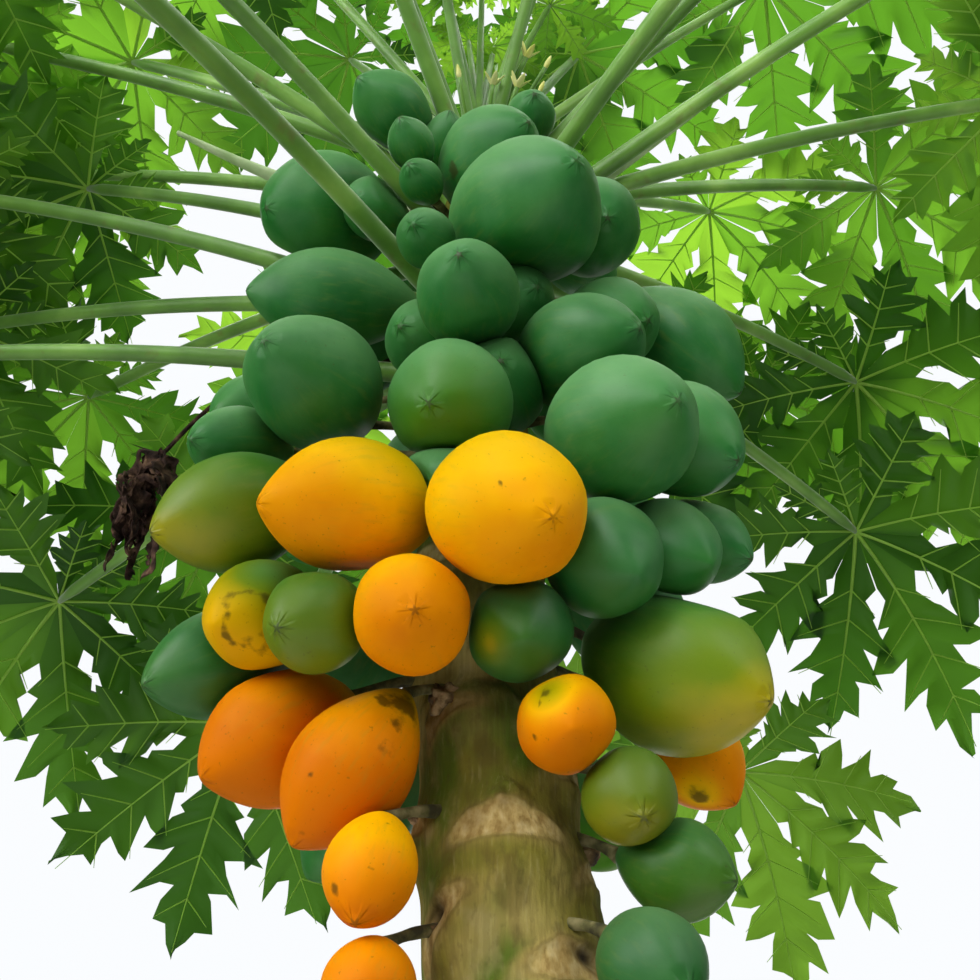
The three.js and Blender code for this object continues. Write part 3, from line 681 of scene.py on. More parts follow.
def bark_material():
    material, nodes, shader = start_material("bark", 0.82)
    shader.inputs["Specular IOR Level"].default_value = 0.2
    cork, blotches = nodes.note("cork"), nodes.cloud(28, 4, (1, 1, 0.7))
    hairs = nodes.cloud(230, 3, (1, 1, 0.10))
    tans = [(0.34, paint(150, 124, 70)), (0.5, paint(184, 160, 100)), (0.66, paint(204, 184, 130))]
    corky = nodes.dapple(130, 4, tans, (1, 1, 0.6))
    base = bark_colour(nodes, cork, blotches, hairs, corky["Cloud"])
    smudged = nodes.over(corky["Color"], nodes.rise(blotches, 0.44, 0.62), 0.5, paint(116, 90, 44))
    ragged = nodes.plus(cork, nodes.times(nodes.minus(blotches, 0.5), RAGGED_EDGE))
    base = nodes.over(base, nodes.rise(ragged, -2, 5), 0.9, smudged)
    edge = nodes.times(nodes.rise(ragged, -3.5, -0.6), nodes.rise(ragged, 1.2, 0))
    base = nodes.over(base, edge, 0.28, paint(88, 70, 32))
    # Painted shade: the hollows of the deeper scars turn near black.
    base = nodes.over(base, nodes.note("hollow"), 1.0, paint(24, 17, 10))
    nodes.feed(shader.inputs["Base Color"], base)
    relief = nodes.plus(blotches, nodes.times(hairs, 0.25))
    relief = nodes.plus(relief, nodes.times(corky["Cloud"], 0.35))
    nodes.bump(shader, relief, 0.7, 0.006)
    return material


bark = bark_material()
finish_piece("bark_trunk", make_trunk(), [bark], "bark", ["trunk"])

# %% [markdown]
# ## The leaves
#
# A leaf's rule is the solid's: its stalk runs straight past the fruits and sags over its outer
# part, and the blade tips forward from the stalk's end. Each row gives a leaf's azimuth, the
# height of its root, its pitch, length, roll and the radius of its blade.

# %% Where the leaves stand
LEAVES = [
    (-31, 2390, -5, 900, -3, 380), (-40, 2540, 10, 860, 4, 375), (-64, 2660, 20, 880, 1, 420),
    (-81, 2755, 18, 860, 5, 390), (-93, 2780, 35, 820, 7, 445), (-99, 2560, 29, 820, -3, 375),
    (-102, 2675, 27, 890, 5, 380), (-87, 2430, 20, 900, -2, 440), (-101, 2460, 13, 890, -3, 400),
    (-90, 2310, 7, 880, 4, 440), (-120, 2590, 11, 890, 6, 375), (-142, 2475, 11, 870, -1, 445),
    (-126, 2365, 0, 920, 3, 415), (82, 2645, 15, 880, 3, 425), (103, 2690, 25, 860, 0, 400),
    (127, 2715, 40, 820, 8, 385), (121, 2655, 10, 880, 6, 440), (135, 2565, 23, 920, 3, 385),
    (150, 2670, 30, 860, -2, 370), (128, 2525, 0, 900, 4, 435), (158, 2575, 23, 840, -6, 440),
    (148, 2305, -11, 900, 7, 370), (62, 2565, 21, 930, 5, 420), (84, 2800, 45, 780, -5, 430),
    (34, 2545, 10, 880, -4, 425), (50, 2650, 24, 870, 4, 435), (-67, 2835, 50, 760, 5, 405),
    (-24, 2710, 30, 840, 8, 385), (-36, 2755, 56, 740, -9, 400), (-31, 2785, 74, 700, -8, 380),
    (169, 2785, 74, 750, 6, 400), (23, 2720, 52, 690, 0, 380), (34, 2855, 56, 780, -8, 395),
    (-150, 2420, -12, 900, 7, 410), (-166, 2560, 8, 900, 3, 415), (178, 2450, -8, 920, 4, 375),
    (-152, 2690, 30, 860, 4, 395), (172, 2645, 24, 850, -6, 425), (-174, 2740, 45, 800, 5, 375),
    (-120, 2820, 63, 730, 3, 385), (119, 2805, 68, 630, -10, 375),
]
YOUNG_LEAVES = [(5, 2930, 82, 430, -4, 170), (64, 2900, 66, 360, 0, 145)]
TIP_LEAVES = [(-55, 2920, 79, 400, 5, 130), (155, 2925, 80, 390, -5, 120), (-140, 2935, 84, 330, 0, 100)]
PETIOLE_BEND = 1 / 3
PETIOLE_NECK = 0.97
PETIOLE_SAG = 0.08
BLADE_LIFT = 0.62
BLADE_TILT = 40
BLADE_DROOP = 0.34
STEEP_PITCH, LEVEL_PITCH = 40, 16
YOUNG_BELOW = 200
# How thick a young leaf's stalk is, a steep one's and any other's.
YOUNG_GIRTH, STEEP_GIRTH, FULL_GIRTH = 0.5, 0.78, 1


class Leaf:
    """One leaf's stalk and the frame that its blade lies in."""

    def __init__(self, azimuth, height, pitch, length, roll, radius):
        self.pitch, self.length, self.radius = pitch, length, radius
        self.root = trunk_axis(height)
        self.along = heading(azimuth, pitch)
        self.forward = heading(azimuth, pitch * BLADE_LIFT - BLADE_TILT)
        level = heading(azimuth - 90, 0)
        self.side = Matrix.Rotation(math.radians(roll), 3, self.forward) @ level
        self.up = self.side.cross(self.forward)
        self.end = self.stalk(1)
        grown = STEEP_GIRTH if pitch > STEEP_PITCH else FULL_GIRTH
        self.girth = YOUNG_GIRTH if radius < YOUNG_BELOW else grown

    def stalk(self, t):
        """A point of the stalk, from the trunk's axis at 0 to the blade at 1."""
        late = max(t - PETIOLE_BEND, 0) / (1 - PETIOLE_BEND)
        sag = PETIOLE_SAG * self.length * late * late * math.cos(math.radians(self.pitch))
        return self.root + self.along * (self.length * t) - Vector((0, 0, sag))

    def blade(self, x, y, z):
        """A point of the blade; x and y are shares of its radius, z is in millimetres."""
        droop = BLADE_DROOP * (x * x + y * y) * self.radius
        return self.end + (self.side * x + self.forward * y) * self.radius + self.up * (z - droop)


leaves = [Leaf(*row) for row in LEAVES]
young_leaves = [Leaf(*row) for row in YOUNG_LEAVES]
tip_leaves = [Leaf(*row) for row in TIP_LEAVES]
print("leaves:", len(leaves), "and young ones:", len(young_leaves))

# %% [markdown]
# A papaya leaf is a hand of long lobes, each cut again into pointed side lobes. One lobe is a
# ladder: a grid four squares wide whose middle line is the midrib and whose outer lines follow
# the outline, rung by rung. The table below is half of that outline, as shares of the lobe's
# length, with the place on the midrib that each rung starts from.

# %% One lobe of a blade
LOBE_ROWS = [
    (0.085, 0.36, 0.27), (0.150, 0.43, 0.31), (0.125, 0.46, 0.37), (0.190, 0.50, 0.41),
    (0.285, 0.61, 0.46), (0.200, 0.625, 0.50), (0.115, 0.61, 0.53), (0.165, 0.665, 0.58),
    (0.250, 0.785, 0.63), (0.165, 0.765, 0.67), (0.082, 0.75, 0.70), (0.115, 0.80, 0.76),
    (0.150, 0.900, 0.81), (0.066, 0.88, 0.86), (0.040, 0.94, 0.92), (0.0, 1.0, 1.0),
]
TIP_ROWS = (1, 4, 8, 12)
LOBES = [(0, 1.0), (39, 0.96), (78, 0.86), (120, 0.68), (158, 0.42)]
# How far the notches between lobes and the heel of each lobe stand from the stalk's end.
SINUS, HEEL = 0.3, 0.16
# The outermost notch, beside the gap where the two last lobes nearly meet.
LAST_NOTCH = (179, 0.05)
# The ranges in which an outline's rungs are wider or slimmer, and further out or in.
RUNG_WIDTH, RUNG_SLIDE = (0.82, 1.08), (-0.018, 0.018)
# A lobe's sides stand up from its midrib, and ruffle from rung to rung, each side in its own way.
FOLD, RUFFLE = 0.0288, 0.02625
RUFFLE_STEP, RUFFLE_OTHER_SIDE = 1.9, 1.3
# A lobe leans and shrinks by chance, but the last ones keep their direction.
LOBE_LEAN, LEANING_BELOW, LOBE_SHRINK = 3, 130, 0.93
LEAF_SHADES = 5


def lobe_edges():
    """Every lobe from left to right: its angle, length, and the notch on each side of it."""
    hand = [(-angle, length) for angle, length in LOBES[:0:-1]] + LOBES
    notches = [((a + b) / 2, SINUS * min(la, lb)) for (a, la), (b, lb) in zip(hand, hand[1:])]
    bounds = [(-LAST_NOTCH[0], LAST_NOTCH[1])] + notches + [LAST_NOTCH]
    return [(angle, length, bounds[k], bounds[k + 1]) for k, (angle, length) in enumerate(hand)]


def turned(angle, along, across):
    """A place in the blade from a distance along a heading and one across it."""
    sine, cosine = math.sin(math.radians(angle)), math.cos(math.radians(angle))
    return (sine * along + cosine * across, cosine * along - sine * across)


def add_lobe(bm, leaf, angle, length, left, right, source):
    """Adds one lobe, as a grid whose lines are moved to the outline and the midrib."""
    rungs = len(LOBE_ROWS) + 1
    part = bmesh.new()
    bmesh.ops.create_grid(part, x_segments=4, y_segments=rungs, size=1)
    phase = between(0, 6.3, source)
    slim = [between(*RUNG_WIDTH, source) for _ in range(2 * (rungs + 1))]
    slide = [between(*RUNG_SLIDE, source) for _ in range(2 * (rungs + 1))]
    for vert in part.verts:
        column = round((vert.co.x + 1) * 2) - 2
        rung = round((vert.co.y + 1) / 2 * rungs)
        share = abs(column) / 2
        if rung == 0:
            x, y = 0, 0
        elif rung == 1:
            notch_angle, notch_radius = left if column < 0 else right
            mid = turned(angle, HEEL * length, 0)
            out = turned(notch_angle, notch_radius, 0)
            x, y = (m + (o - m) * share for m, o in zip(mid, out))
        else:
            across, along, middle = LOBE_ROWS[rung - 2]
            spot = 2 * rung + (column > 0)
            reach = math.copysign(across * share * slim[spot], column) * length
            x, y = turned(angle, (middle + (along + slide[spot] - middle) * share) * length, reach)
        wave = math.sin(phase + RUFFLE_STEP * rung + RUFFLE_OTHER_SIDE * (column > 0))
        lift = (FOLD + RUFFLE * wave) * share * leaf.radius * length * (rung > 0)
        vert.co = leaf.blade(x, y, lift)
    return add(bm, part)


def make_blade(leaf, source, shade=0):
    """The whole blade of one leaf; single lobes come out a green lighter or darker: random tone, with
    painted patches of sun and shade.
    """
    bm = bmesh.new()
    for angle, length, left, right in lobe_edges():
        lean = between(-LOBE_LEAN, LOBE_LEAN, source) if abs(angle) < LEANING_BELOW else 0
        grown = length * between(LOBE_SHRINK, 1.0, source)
        verts = add_lobe(bm, leaf, angle + lean, grown, left, right, source)
        # A lobe may step one green lighter or darker, as painted patches of sun and shade.
        step = int(next(source) * 4)
        paint_faces(verts, min(max(shade + (step == 3) - (step == 0), 0), LEAF_SHADES - 1))
    bmesh.ops.remove_doubles(bm, verts=bm.verts, dist=0.4)
    return bm


print("lobes of a blade:", len(lobe_edges()))

# %% [markdown]
# Veins catch the light on the underside, so they are thin rods rather than painted lines: one
# along every lobe, and one from it to the tip of each side lobe.

# %% Veins
def rod(start, end, thick, thin):
    """A straight, tapered rod with three sides."""
    bm = bmesh.new()
    run = end - start
    turn = run.to_track_quat("Z", "Y").to_matrix().to_4x4()
    place = Matrix.Translation((start + end) / 2) @ turn
    bmesh.ops.create_cone(
        bm, cap_ends=False, segments=3, radius1=thick, radius2=thin, depth=run.length, matrix=place,
    )
    return bm


VEIN_REACH = 0.76
# The veins end a little short of the outline, and lie just under the blade.
RIB_SHARE, BRANCH_FROM, BRANCH_TO = 0.94, 0.93, 0.95
RIB_DEPTH, BRANCH_DEPTH = -1.0, -0.6
# Radii in millimetres on a blade of the usual radius: at a vein's foot, halfway and at its end.
USUAL_BLADE = 400
RIB_FOOT, RIB_LOSS = 3.6, 2.9
BRANCH_RADII = (1.7, 1.3, 0.6)
# A leaf stalk's radius at the trunk, what it loses to its end, and its swollen foot.
PETIOLE_RADIUS, PETIOLE_LOSS, FOOT_SWELL, FOOT_LENGTH = 14.2, 4.2, 6, 0.03


def make_veins(leaf):
    bm = bmesh.new()
    size = leaf.radius / USUAL_BLADE
    for angle, length, _, _ in lobe_edges():
        def rib(t, angle=angle, length=length):
            return leaf.blade(*turned(angle, t * length * RIB_SHARE, 0), RIB_DEPTH)
        add(bm, limb(rib, lambda t: size * (RIB_FOOT - RIB_LOSS * t) * length ** 0.5, 4, 7, cap=False))
        for row in TIP_ROWS:
            across, along, middle = LOBE_ROWS[row]
            for hand in (-1, 1):
                start = turned(angle, middle * length * BRANCH_FROM, 0)
                reach = (middle + (along - middle) * VEIN_REACH) * length * BRANCH_TO
                end = turned(angle, reach, hand * across * length * VEIN_REACH)
                half = [(a + b) / 2 for a, b in zip(start, end)]
                stops = [leaf.blade(*place, BRANCH_DEPTH) for place in (start, half, end)]
                radii = [radius * size for radius in BRANCH_RADII]
                for k in (0, 1):
                    add(bm, rod(stops[k], stops[k + 1], radii[k], radii[k + 1]))
    return bm


def make_petiole(leaf):
    """A leaf's stalk, with the swollen foot that clasps the trunk."""
    def radius(t):
        foot = FOOT_SWELL * math.exp(-t / FOOT_LENGTH)
        return leaf.girth * (PETIOLE_RADIUS - PETIOLE_LOSS * t + foot) * (1 if t < 0.99 else 0.5)
    return limb(leaf.stalk, radius, 14, 22)


print("side veins of a blade:", 2 * len(TIP_ROWS) * len(lobe_edges()))

# %% [markdown]
# A leaf against the light glows: part of the light goes through it. The finish mixes a plain
# surface with a translucent one. The blades are dealt five plain greens, because leaves of one
# crown differ in age and in the light they get.

# %% Finishes of the leaves
# Name, colour, colour of the light that comes through, and how much of the blade lets it through.
GREENS = [
    ("leaf_bright", (76, 124, 32), (124, 172, 42), 0.6),
    ("leaf_fresh", (60, 108, 26), (98, 150, 34), 0.6),
    ("leaf_green", (48, 94, 22), (78, 130, 26), 0.58),
    ("leaf_deep", (38, 80, 18), (62, 112, 20), 0.56),
    ("leaf_dark", (30, 66, 15), (50, 94, 16), 0.54),
]


def leaf_material(name, colour, glow, share, painted_glow=0.0):
    """A leaf's finish: surface colour, colour of the light through it, its share, and painted glow
    strength.
    """
    material, nodes, shader = start_material(name, 0.5)
    shader.inputs["Base Color"].default_value = paint(*colour)
    shader.inputs["Emission Color"].default_value = paint(*glow)
    shader.inputs["Emission Strength"].default_value = painted_glow
    through = nodes.place("ShaderNodeBsdfTranslucent", {"Color": paint(*glow)}).outputs["BSDF"]
    values = {"Fac": share, 1: shader.outputs["BSDF"], 2: through}
    mixed = nodes.place("ShaderNodeMixShader", values).outputs["Shader"]
    nodes.feed(material.node_tree.nodes["Material Output"].inputs["Surface"], mixed)
    return material


def petiole_finish():
    """The stalk's dealt greens, with rusty patches and the sheen of fine down."""
    greens = [(0.36, paint(76, 122, 24)), (0.54, paint(100, 148, 44)), (0.68, paint(132, 174, 72))]
    grain = (120, 3, 0.15, 0.0015)
    material, nodes, shader = dappled_material("petiole", 0.45, (9, 4), greens, grain)
    green = shader.inputs["Base Color"].links[0].from_socket
    rust = nodes.rise(nodes.cloud(34, 4), 0.60, 0.74)
    nodes.feed(shader.inputs["Base Color"], nodes.over(green, rust, 0.4, paint(104, 84, 34)))
    shader.inputs["Sheen Weight"].default_value = 0.5
    return material


blade_greens = [leaf_material(*row) for row in GREENS]
# The veins get a faint painted glow, which stands for the light that comes through them.
vein_green = leaf_material("leaf_vein", (150, 190, 80), (180, 220, 90), 0.5, 0.10)
petiole_material = petiole_finish()
print("leaf finishes:", [m.name for m in blade_greens])

# %% Make the leaves
leaf_names = [f"leaf_{k + 1:02d}" for k in range(len(leaves))]
blades, veins, petioles = bmesh.new(), bmesh.new(), bmesh.new()
leaf_source = chance(300)
for leaf in leaves:
    # Steep leaves get a darker green and level ones a brighter one: painted shade and light, as the
    # crown shades the steep ones.
    shade = 1 + int(next(leaf_source) * 3) + (leaf.pitch > STEEP_PITCH) - (leaf.pitch < LEVEL_PITCH)
    add(blades, make_blade(leaf, leaf_source, shade))
    add(veins, make_veins(leaf))
    add(petioles, make_petiole(leaf))
finish_piece("leaf_blades", blades, blade_greens, "leaf", leaf_names)
finish_piece("leaf_veins", veins, [vein_green], "leaf", leaf_names)
finish_piece("petioles", petioles, [petiole_material], "leaf", leaf_names)

# %% [markdown]
# At the very tip a few young leaves still stand upright round the bud. They are made by the same
# functions from shorter rows.

# %% The tip of the crown
BUD_HEIGHT, BUD_RADIUS, BUD_TIP_RADIUS, BUD_BLUNTNESS = 110, 13, 2, 0.6
tip_blades, tip_stalks = bmesh.new(), bmesh.new()
for leaf in young_leaves + tip_leaves:
    add(tip_blades, make_blade(leaf, leaf_source))
    add(tip_stalks, make_veins(leaf))
    add(tip_stalks, make_petiole(leaf))
bud = limb(
    lambda t: trunk_axis(TRUNK_HEIGHT + t * BUD_HEIGHT),
    lambda t: BUD_RADIUS * (1 - t) ** BUD_BLUNTNESS + BUD_TIP_RADIUS, 12, 10,
)
add(tip_stalks, bud)
finish_piece("young_blades", tip_blades, blade_greens, "young_leaf", ["young_leaves"])
finish_piece("young_stalks", tip_stalks, [petiole_material], "young_leaf", ["young_leaves"])

# %% [markdown]
# ## The fruits
#
# The fruits that show from the front are set one by one: height, azimuth, distance from the
# trunk's axis, droop of the fruit's own axis, its turn, length, breadth, and how ripe it is. The
# last number says how much riper the tip is than the stalk's end. Those behind follow the leaf
# spiral and are sized by height.

# %% Where the fruits stand
GREEN, YELLOW, ORANGE = 0.08, 0.78, 1.0
FRONT_FRUITS = [
    (2764, -47, 172, 8, 11, 164, 113, GREEN, 0), (2610, -29, 185, 0, 11, 94, 65, GREEN, 0),
    (2730, -30, 100, -10, 40, 105, 72, GREEN, 0), (2540, -26, 168, 16, 4, 84, 60, GREEN, 0),
    (2606, 6, 140, 16, 29, 198, 141, GREEN, 0), (2740, 34, 145, 18, -30, 116, 78, GREEN, 0),
    (2402, 17, 198, 17, 11, 262, 190, GREEN, 0), (2500, 56, 192, 45, -45, 189, 136, GREEN, 0),
    (2600, -76, 222, 38, 30, 252, 181, GREEN, 0), (2402, -72, 196, 8, -3, 236, 140, GREEN, 0),
    (2144, -49, 239, 14, 27, 209, 150, GREEN, 0), (2235, -2, 208, 18, -3, 178, 120, GREEN, 0),
    (2105, -9, 176, 42, -7, 184, 139, 0.14, 0.06), (2198, 37, 194, 19, 3, 198, 136, GREEN, 0),
    (2303, 57, 198, 38, -20, 168, 119, GREEN, 0), (2342, 82, 268, 50, 8, 230, 151, GREEN, 0),
    (2050, 38, 236, 20, -10, 206, 158, GREEN, 0.04), (2125, 68, 246, 45, -20, 206, 138, GREEN, 0),
    (1917, 4, 228, 36, 27, 196, 150, 0.82, 0.02), (1962, -35, 216, 19, -26, 204, 138, YELLOW, 0.04),
    (1996, -64, 283, 32, -3, 194, 128, 0.30, 0.10), (1872, -63, 247, 33, 35, 160, 112, 0.66, 0.10),
    (1838, -45, 228, 34, 16, 126, 98, 0.30, 0.06), (1830, -21, 200, 29, 28, 143, 112, 0.93, 0.02),
    (1838, 11, 148, 38, -9, 130, 102, 0.04, 0.12), (1862, -83, 277, 33, 32, 190, 116, 0.06, 0.06),
    (1778, -79, 214, 40, 20, 183, 138, 1.0, 0), (1725, -55, 162, 58, -34, 174, 115, 1.0, 0.04),
    (1621, -42, 170, 60, 30, 120, 79, 0.95, 0.04), (1532, -47, 162, 50, 40, 97, 76, 0.98, 0),
    (1744, 25, 150, 29, -24, 109, 90, 0.94, 0.06), (1844, 73, 194, 34, -18, 226, 173, 0.40, 0.12),
    (1688, 46, 158, 40, -38, 104, 87, 0.38, 0.02), (1800, 104, 222, 58, -36, 146, 104, 0.95, 0.03),
    (1636, 64, 166, 20, -4, 114, 89, 0.20, 0.04), (1541, 35, 178, 32, -10, 111, 85, GREEN, 0),
    (1918, 38, 190, 44, -15, 166, 120, GREEN, 0), (1968, 64, 215, 42, -30, 164, 109, GREEN, 0),
    (2022, 82, 250, 42, -30, 158, 96, GREEN, 0), (2102, -69, 288, 28, 32, 152, 96, GREEN, 0),
    (2205, -80, 268, 38, 40, 173, 107, GREEN, 0), (2343, -15, 216, 30, -3, 101, 72, GREEN, 0),
    (2548, -54, 172, 36, 20, 126, 92, GREEN, 0), (2330, 20, 120, 25, 10, 150, 118, GREEN, 0),
    (2175, 12, 125, 20, -10, 150, 120, GREEN, 0), (2280, -30, 112, 25, 0, 140, 108, GREEN, 0),
    (2010, -14, 140, 30, 0, 140, 112, GREEN, 0),
]
BACK_FROM = 100
BACK_TO = 250
BACK_LOW_BELOW = 1700
BACK_LOW_MARGIN = 28
BACK_BOTTOM = 1570
BACK_STEP = 9.2
BACK_COUNT = 128
BACK_SQUEEZE = 0.97
BACK_STALK = 42
# The droop of the lowest and of the highest fruits, in degrees, and the height of the highest.
BACK_DROOP, BACK_DROOP_TOP = (48, 8), 2750
HUNG_SHARE = 0.47
BACK_BREADTHS, BACK_SLENDERNESS = (0.88, 1.12), (1.28, 1.53)
BACK_DROOP_CHANCE, BACK_TURN_CHANCE, BACK_RIPENING = 7, 12, 0.03
# Below each height, the share of the fruits behind that are so ripe.
BACK_RIPENESS = [(1800, 0.5, ORANGE), (2000, 0.25, YELLOW)]
BREADTH_BY_HEIGHT = [
    (1500, 84), (1700, 104), (1950, 132), (2200, 146), (2450, 148), (2600, 118), (2800, 60),
]
CORE_INSET = 0.45
SHORTEST_CORE = 0.06
DEEPEST_PRESS = 0.27
STALK_PRESS = 15
NEARLY_PARALLEL = 1e-6


class Fruit:
    """One fruit: its middle, its axis from stalk to tip, and what presses on it."""

    def __init__(self, height, azimuth, reach, droop, turn, length, breadth, ripe, ripening):
        self.centre = trunk_axis(height) + heading(azimuth, 0) * reach
        self.axis = heading(azimuth + turn, -droop)
        self.length, self.breadth = length, breadth
        self.ripe, self.ripening = ripe, ripening
        self.stem = self.centre - self.axis * (length / 2)
        half = max(length / 2 - breadth * CORE_INSET, length * SHORTEST_CORE)
        self.core = (self.centre - self.axis * half, self.centre + self.axis * half)
        self.planes = []


def closest(first, second):
    """The closest points of two straight stretches."""
    (a0, a1), (b0, b1) = first, second
    a, b, apart = a1 - a0, b1 - b0, a0 - b0
    aa, bb, ab, ar, br = a.dot(a), b.dot(b), a.dot(b), a.dot(apart), b.dot(apart)
    spread = aa * bb - ab * ab
    s = min(max((ab * br - bb * ar) / spread, 0), 1) if spread > NEARLY_PARALLEL * aa * bb else 0.5
    t = min(max((ab * s + br) / bb, 0), 1)
    s = min(max((ab * t - ar) / aa, 0), 1)
    return a0 + a * s, b0 + b * t


def distance_between(first, second):
    a, b = closest(first, second)
    return (a - b).length


def breadth_at(height):
    heights, breadths = zip(*BREADTH_BY_HEIGHT)
    return float(np.interp(height, heights, breadths))


def back_fruit(n, source):
    """The fruit at one step of the spiral, and its azimuth."""
    height = BACK_BOTTOM + n * BACK_STEP
    azimuth = (n * GOLDEN_ANGLE) % 360
    breadth = breadth_at(height) * between(*BACK_BREADTHS, source)
    length = breadth * between(*BACK_SLENDERNESS, source)
    low, high = BACK_DROOP
    usual = low + (high - low) * (height - BACK_BOTTOM) / (BACK_DROOP_TOP - BACK_BOTTOM)
    droop = usual + between(-BACK_DROOP_CHANCE, BACK_DROOP_CHANCE, source)
    turn = between(-BACK_TURN_CHANCE, BACK_TURN_CHANCE, source)
    luck = next(source)
    hung = length * HUNG_SHARE * math.cos(math.radians(droop))
    reach = float(trunk_radius(height)) + BACK_STALK + hung
    shades = [shade for below, share, shade in BACK_RIPENESS if height < below and luck < share]
    ripe = (shades + [GREEN])[0]
    return Fruit(height, azimuth, reach, droop, turn, length, breadth, ripe, BACK_RIPENING), azimuth


candidates = [Fruit(*row) for row in FRONT_FRUITS]
all_leaves = leaves + young_leaves
stalk_lines = [(leaf.root, leaf.stalk(PETIOLE_BEND)) for leaf in all_leaves]
back_source = chance(7)
for n in range(BACK_COUNT):
    fruit, azimuth = back_fruit(n, back_source)
    margin = BACK_LOW_MARGIN if fruit.centre.z < BACK_LOW_BELOW else 0
    behind = BACK_FROM + margin < azimuth < BACK_TO - margin
    touching = any(
        distance_between(fruit.core, other.core) < BACK_SQUEEZE * (fruit.breadth + other.breadth) / 2
        for other in candidates
    )
    deepest = DEEPEST_PRESS * fruit.breadth + STALK_PRESS
    speared = any(distance_between(fruit.core, line) < deepest for line in stalk_lines)
    if behind and not touching and not speared:
        candidates.append(fruit)
print("fruits that have room:", len(candidates))

# %% [markdown]
# The solid model hangs neighbouring fruits in bunches, and each bunch is one solid. The same
# grouping is worked out here, so that each dressed bunch replaces its own solid. A bunch whose
# place no solid fills was left out of the model and is left out here.

# %% Group the fruits in bunches
FRUITS_PER_BUNCH = 5
BUNCH_REACH = 300
BUNCH_ARC = 90
RIPE_FROM = 0.6


def middle_of(bunch):
    return sum((fruit.stem for fruit in bunch), Vector()) / len(bunch)


def arc_between(first, second):
    """The angle between two points seen from the trunk, in degrees."""
    flat = [point - trunk_axis(point.z) for point in (first, second)]
    return math.degrees(flat[0].xy.angle(flat[1].xy))


def group_fruits():
    bunches = []
    for fruit in sorted(candidates, key=lambda f: f.stem.z):
        near = [
            bunch for bunch in bunches
            if len(bunch) < FRUITS_PER_BUNCH
            and (bunch[0].ripe > RIPE_FROM) == (fruit.ripe > RIPE_FROM)
            and (middle_of(bunch) - fruit.stem).length < BUNCH_REACH
            and arc_between(middle_of(bunch), fruit.stem) < BUNCH_ARC
        ]
        if near:
            min(near, key=lambda bunch: (middle_of(bunch) - fruit.stem).length).append(fruit)
        else:
            bunches.append([fruit])
    return bunches


bunch_nodes = sorted(name for name in frame["nodes"] if name.startswith("fruits_"))
bunches = []
for bunch in group_fruits():
    if len(bunches) == len(bunch_nodes):
        continue
    low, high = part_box(bunch_nodes[len(bunches)])
    if all(low[i] < f.centre[i] * MM < high[i] for f in bunch for i in range(3)):
        bunches.append(bunch)
fruits = [fruit for bunch in bunches for fruit in bunch]
print("bunches:", len(bunches), "of", len(bunch_nodes), "solids; fruits:", len(fruits))

# %% [markdown]
# A fruit starts as a round ball and is drawn out to a papaya's profile: blunt at the stalk,
# fullest past the middle, and slightly pointed at the tip, with five faint ridges that meet in
# the star left by the flower.

# %% One fruit's skin
FULLNESS, BELLY = 0.6, 1.15
# Five ridges grow from the stalk's end to the tip, and two slow bulges make each fruit its own.
RIDGES, RIDGE, RIDGE_AT_STALK, RIDGE_GROWTH = 5, 0.014, 0.4, 1.2
BULGE, SECOND_BULGE = 0.018, 0.012
POINT_LENGTH, POINT_FROM_TIP = 0.03, 0.035
FRUIT_ROUND, FRUIT_LONG = 44, 30


def ball():
    """The round ball that every skin starts from."""
    bm = bmesh.new()
    bmesh.ops.create_uvsphere(bm, u_segments=FRUIT_ROUND, v_segments=FRUIT_LONG, radius=1)
    return bm


def skin_points(fruit, seed):
    """The skin before anything presses on it, with the share along it and the place across it."""
    bm = ball()
    places = np.array([v.co for v in bm.verts])
    bm.free()
    along = (1 - places[:, 2]) / 2
    angle = np.arctan2(places[:, 1], places[:, 0]) + seed
    profile = np.sin(np.pi * np.clip(along, 0, 1) ** BELLY).clip(0) ** FULLNESS
    ridge = 1 + RIDGE * np.cos(RIDGES * angle) * (RIDGE_AT_STALK + RIDGE_GROWTH * along ** 3)
    second = SECOND_BULGE * np.cos(2 * angle + 3.1 * seed)
    bulge = 1 + BULGE * np.cos(angle - 1.7 * seed) + second
    radius = profile * ridge * bulge * fruit.breadth / 2
    point = POINT_LENGTH * fruit.length * np.exp(-(1 - along) / POINT_FROM_TIP)
    turn = Vector((0, 0, 1)).rotation_difference(fruit.axis).to_matrix()
    x, y = radius * np.cos(angle), radius * np.sin(angle)
    local = np.stack([x, y, along * fruit.length + point], axis=1)
    points = local @ np.array(turn).T + np.array(fruit.stem)
    return points, along, np.stack([x, y, np.zeros_like(x)], axis=1)


print("points of one skin:", len(skin_points(fruits[0], 0)[0]))

# %% [markdown]
# Fruits that grow against each other flatten where they meet. For every pair there is a plane
# between their middles; each skin is drawn in towards its own core until it stays behind all
# its planes. The stalks of the leaves and the trunk press in the same way. Taking a smooth
# minimum in place of a hard one rounds the edge of each flat.

# %% Press the fruits together
PRESS_GAP = 0.6
LEAST_ROOM = 2
PRESS_SHARPNESS = 12
# Each fruit is turned about its own axis by this much more than the one before.
TURN_STEP = 0.7
DEAD_LEAF = dict(azimuth=-97, root=2420, reach=430, height=2215, length=190)
DEAD_STALK_RADIUS = 6
dead_hang = trunk_axis(DEAD_LEAF["height"]) + heading(DEAD_LEAF["azimuth"], 0) * DEAD_LEAF["reach"]


def extent(points, direction, start):
    return float(((points - np.array(start)) @ np.array(direction)).max())


def press_together(a, b):
    place_a, place_b = closest(a.core, b.core)
    normal = (place_b - place_a).normalized()
    distance = (place_b - place_a).length
    reach_a = extent(a.points, normal, place_a)
    reach_b = extent(b.points, -normal, place_b)
    if reach_a + reach_b + PRESS_GAP > distance:
        middle = place_a.dot(normal) + distance * reach_a / (reach_a + reach_b)
        a.planes.append((normal, middle - PRESS_GAP / 2))
        b.planes.append((-normal, -(middle + PRESS_GAP / 2)))


def press_on_line(fruit, line, radius):
    inside, outside = closest(fruit.core, line)
    normal = (outside - inside).normalized()
    fruit.planes.append((normal, outside.dot(normal) - radius - PRESS_GAP))


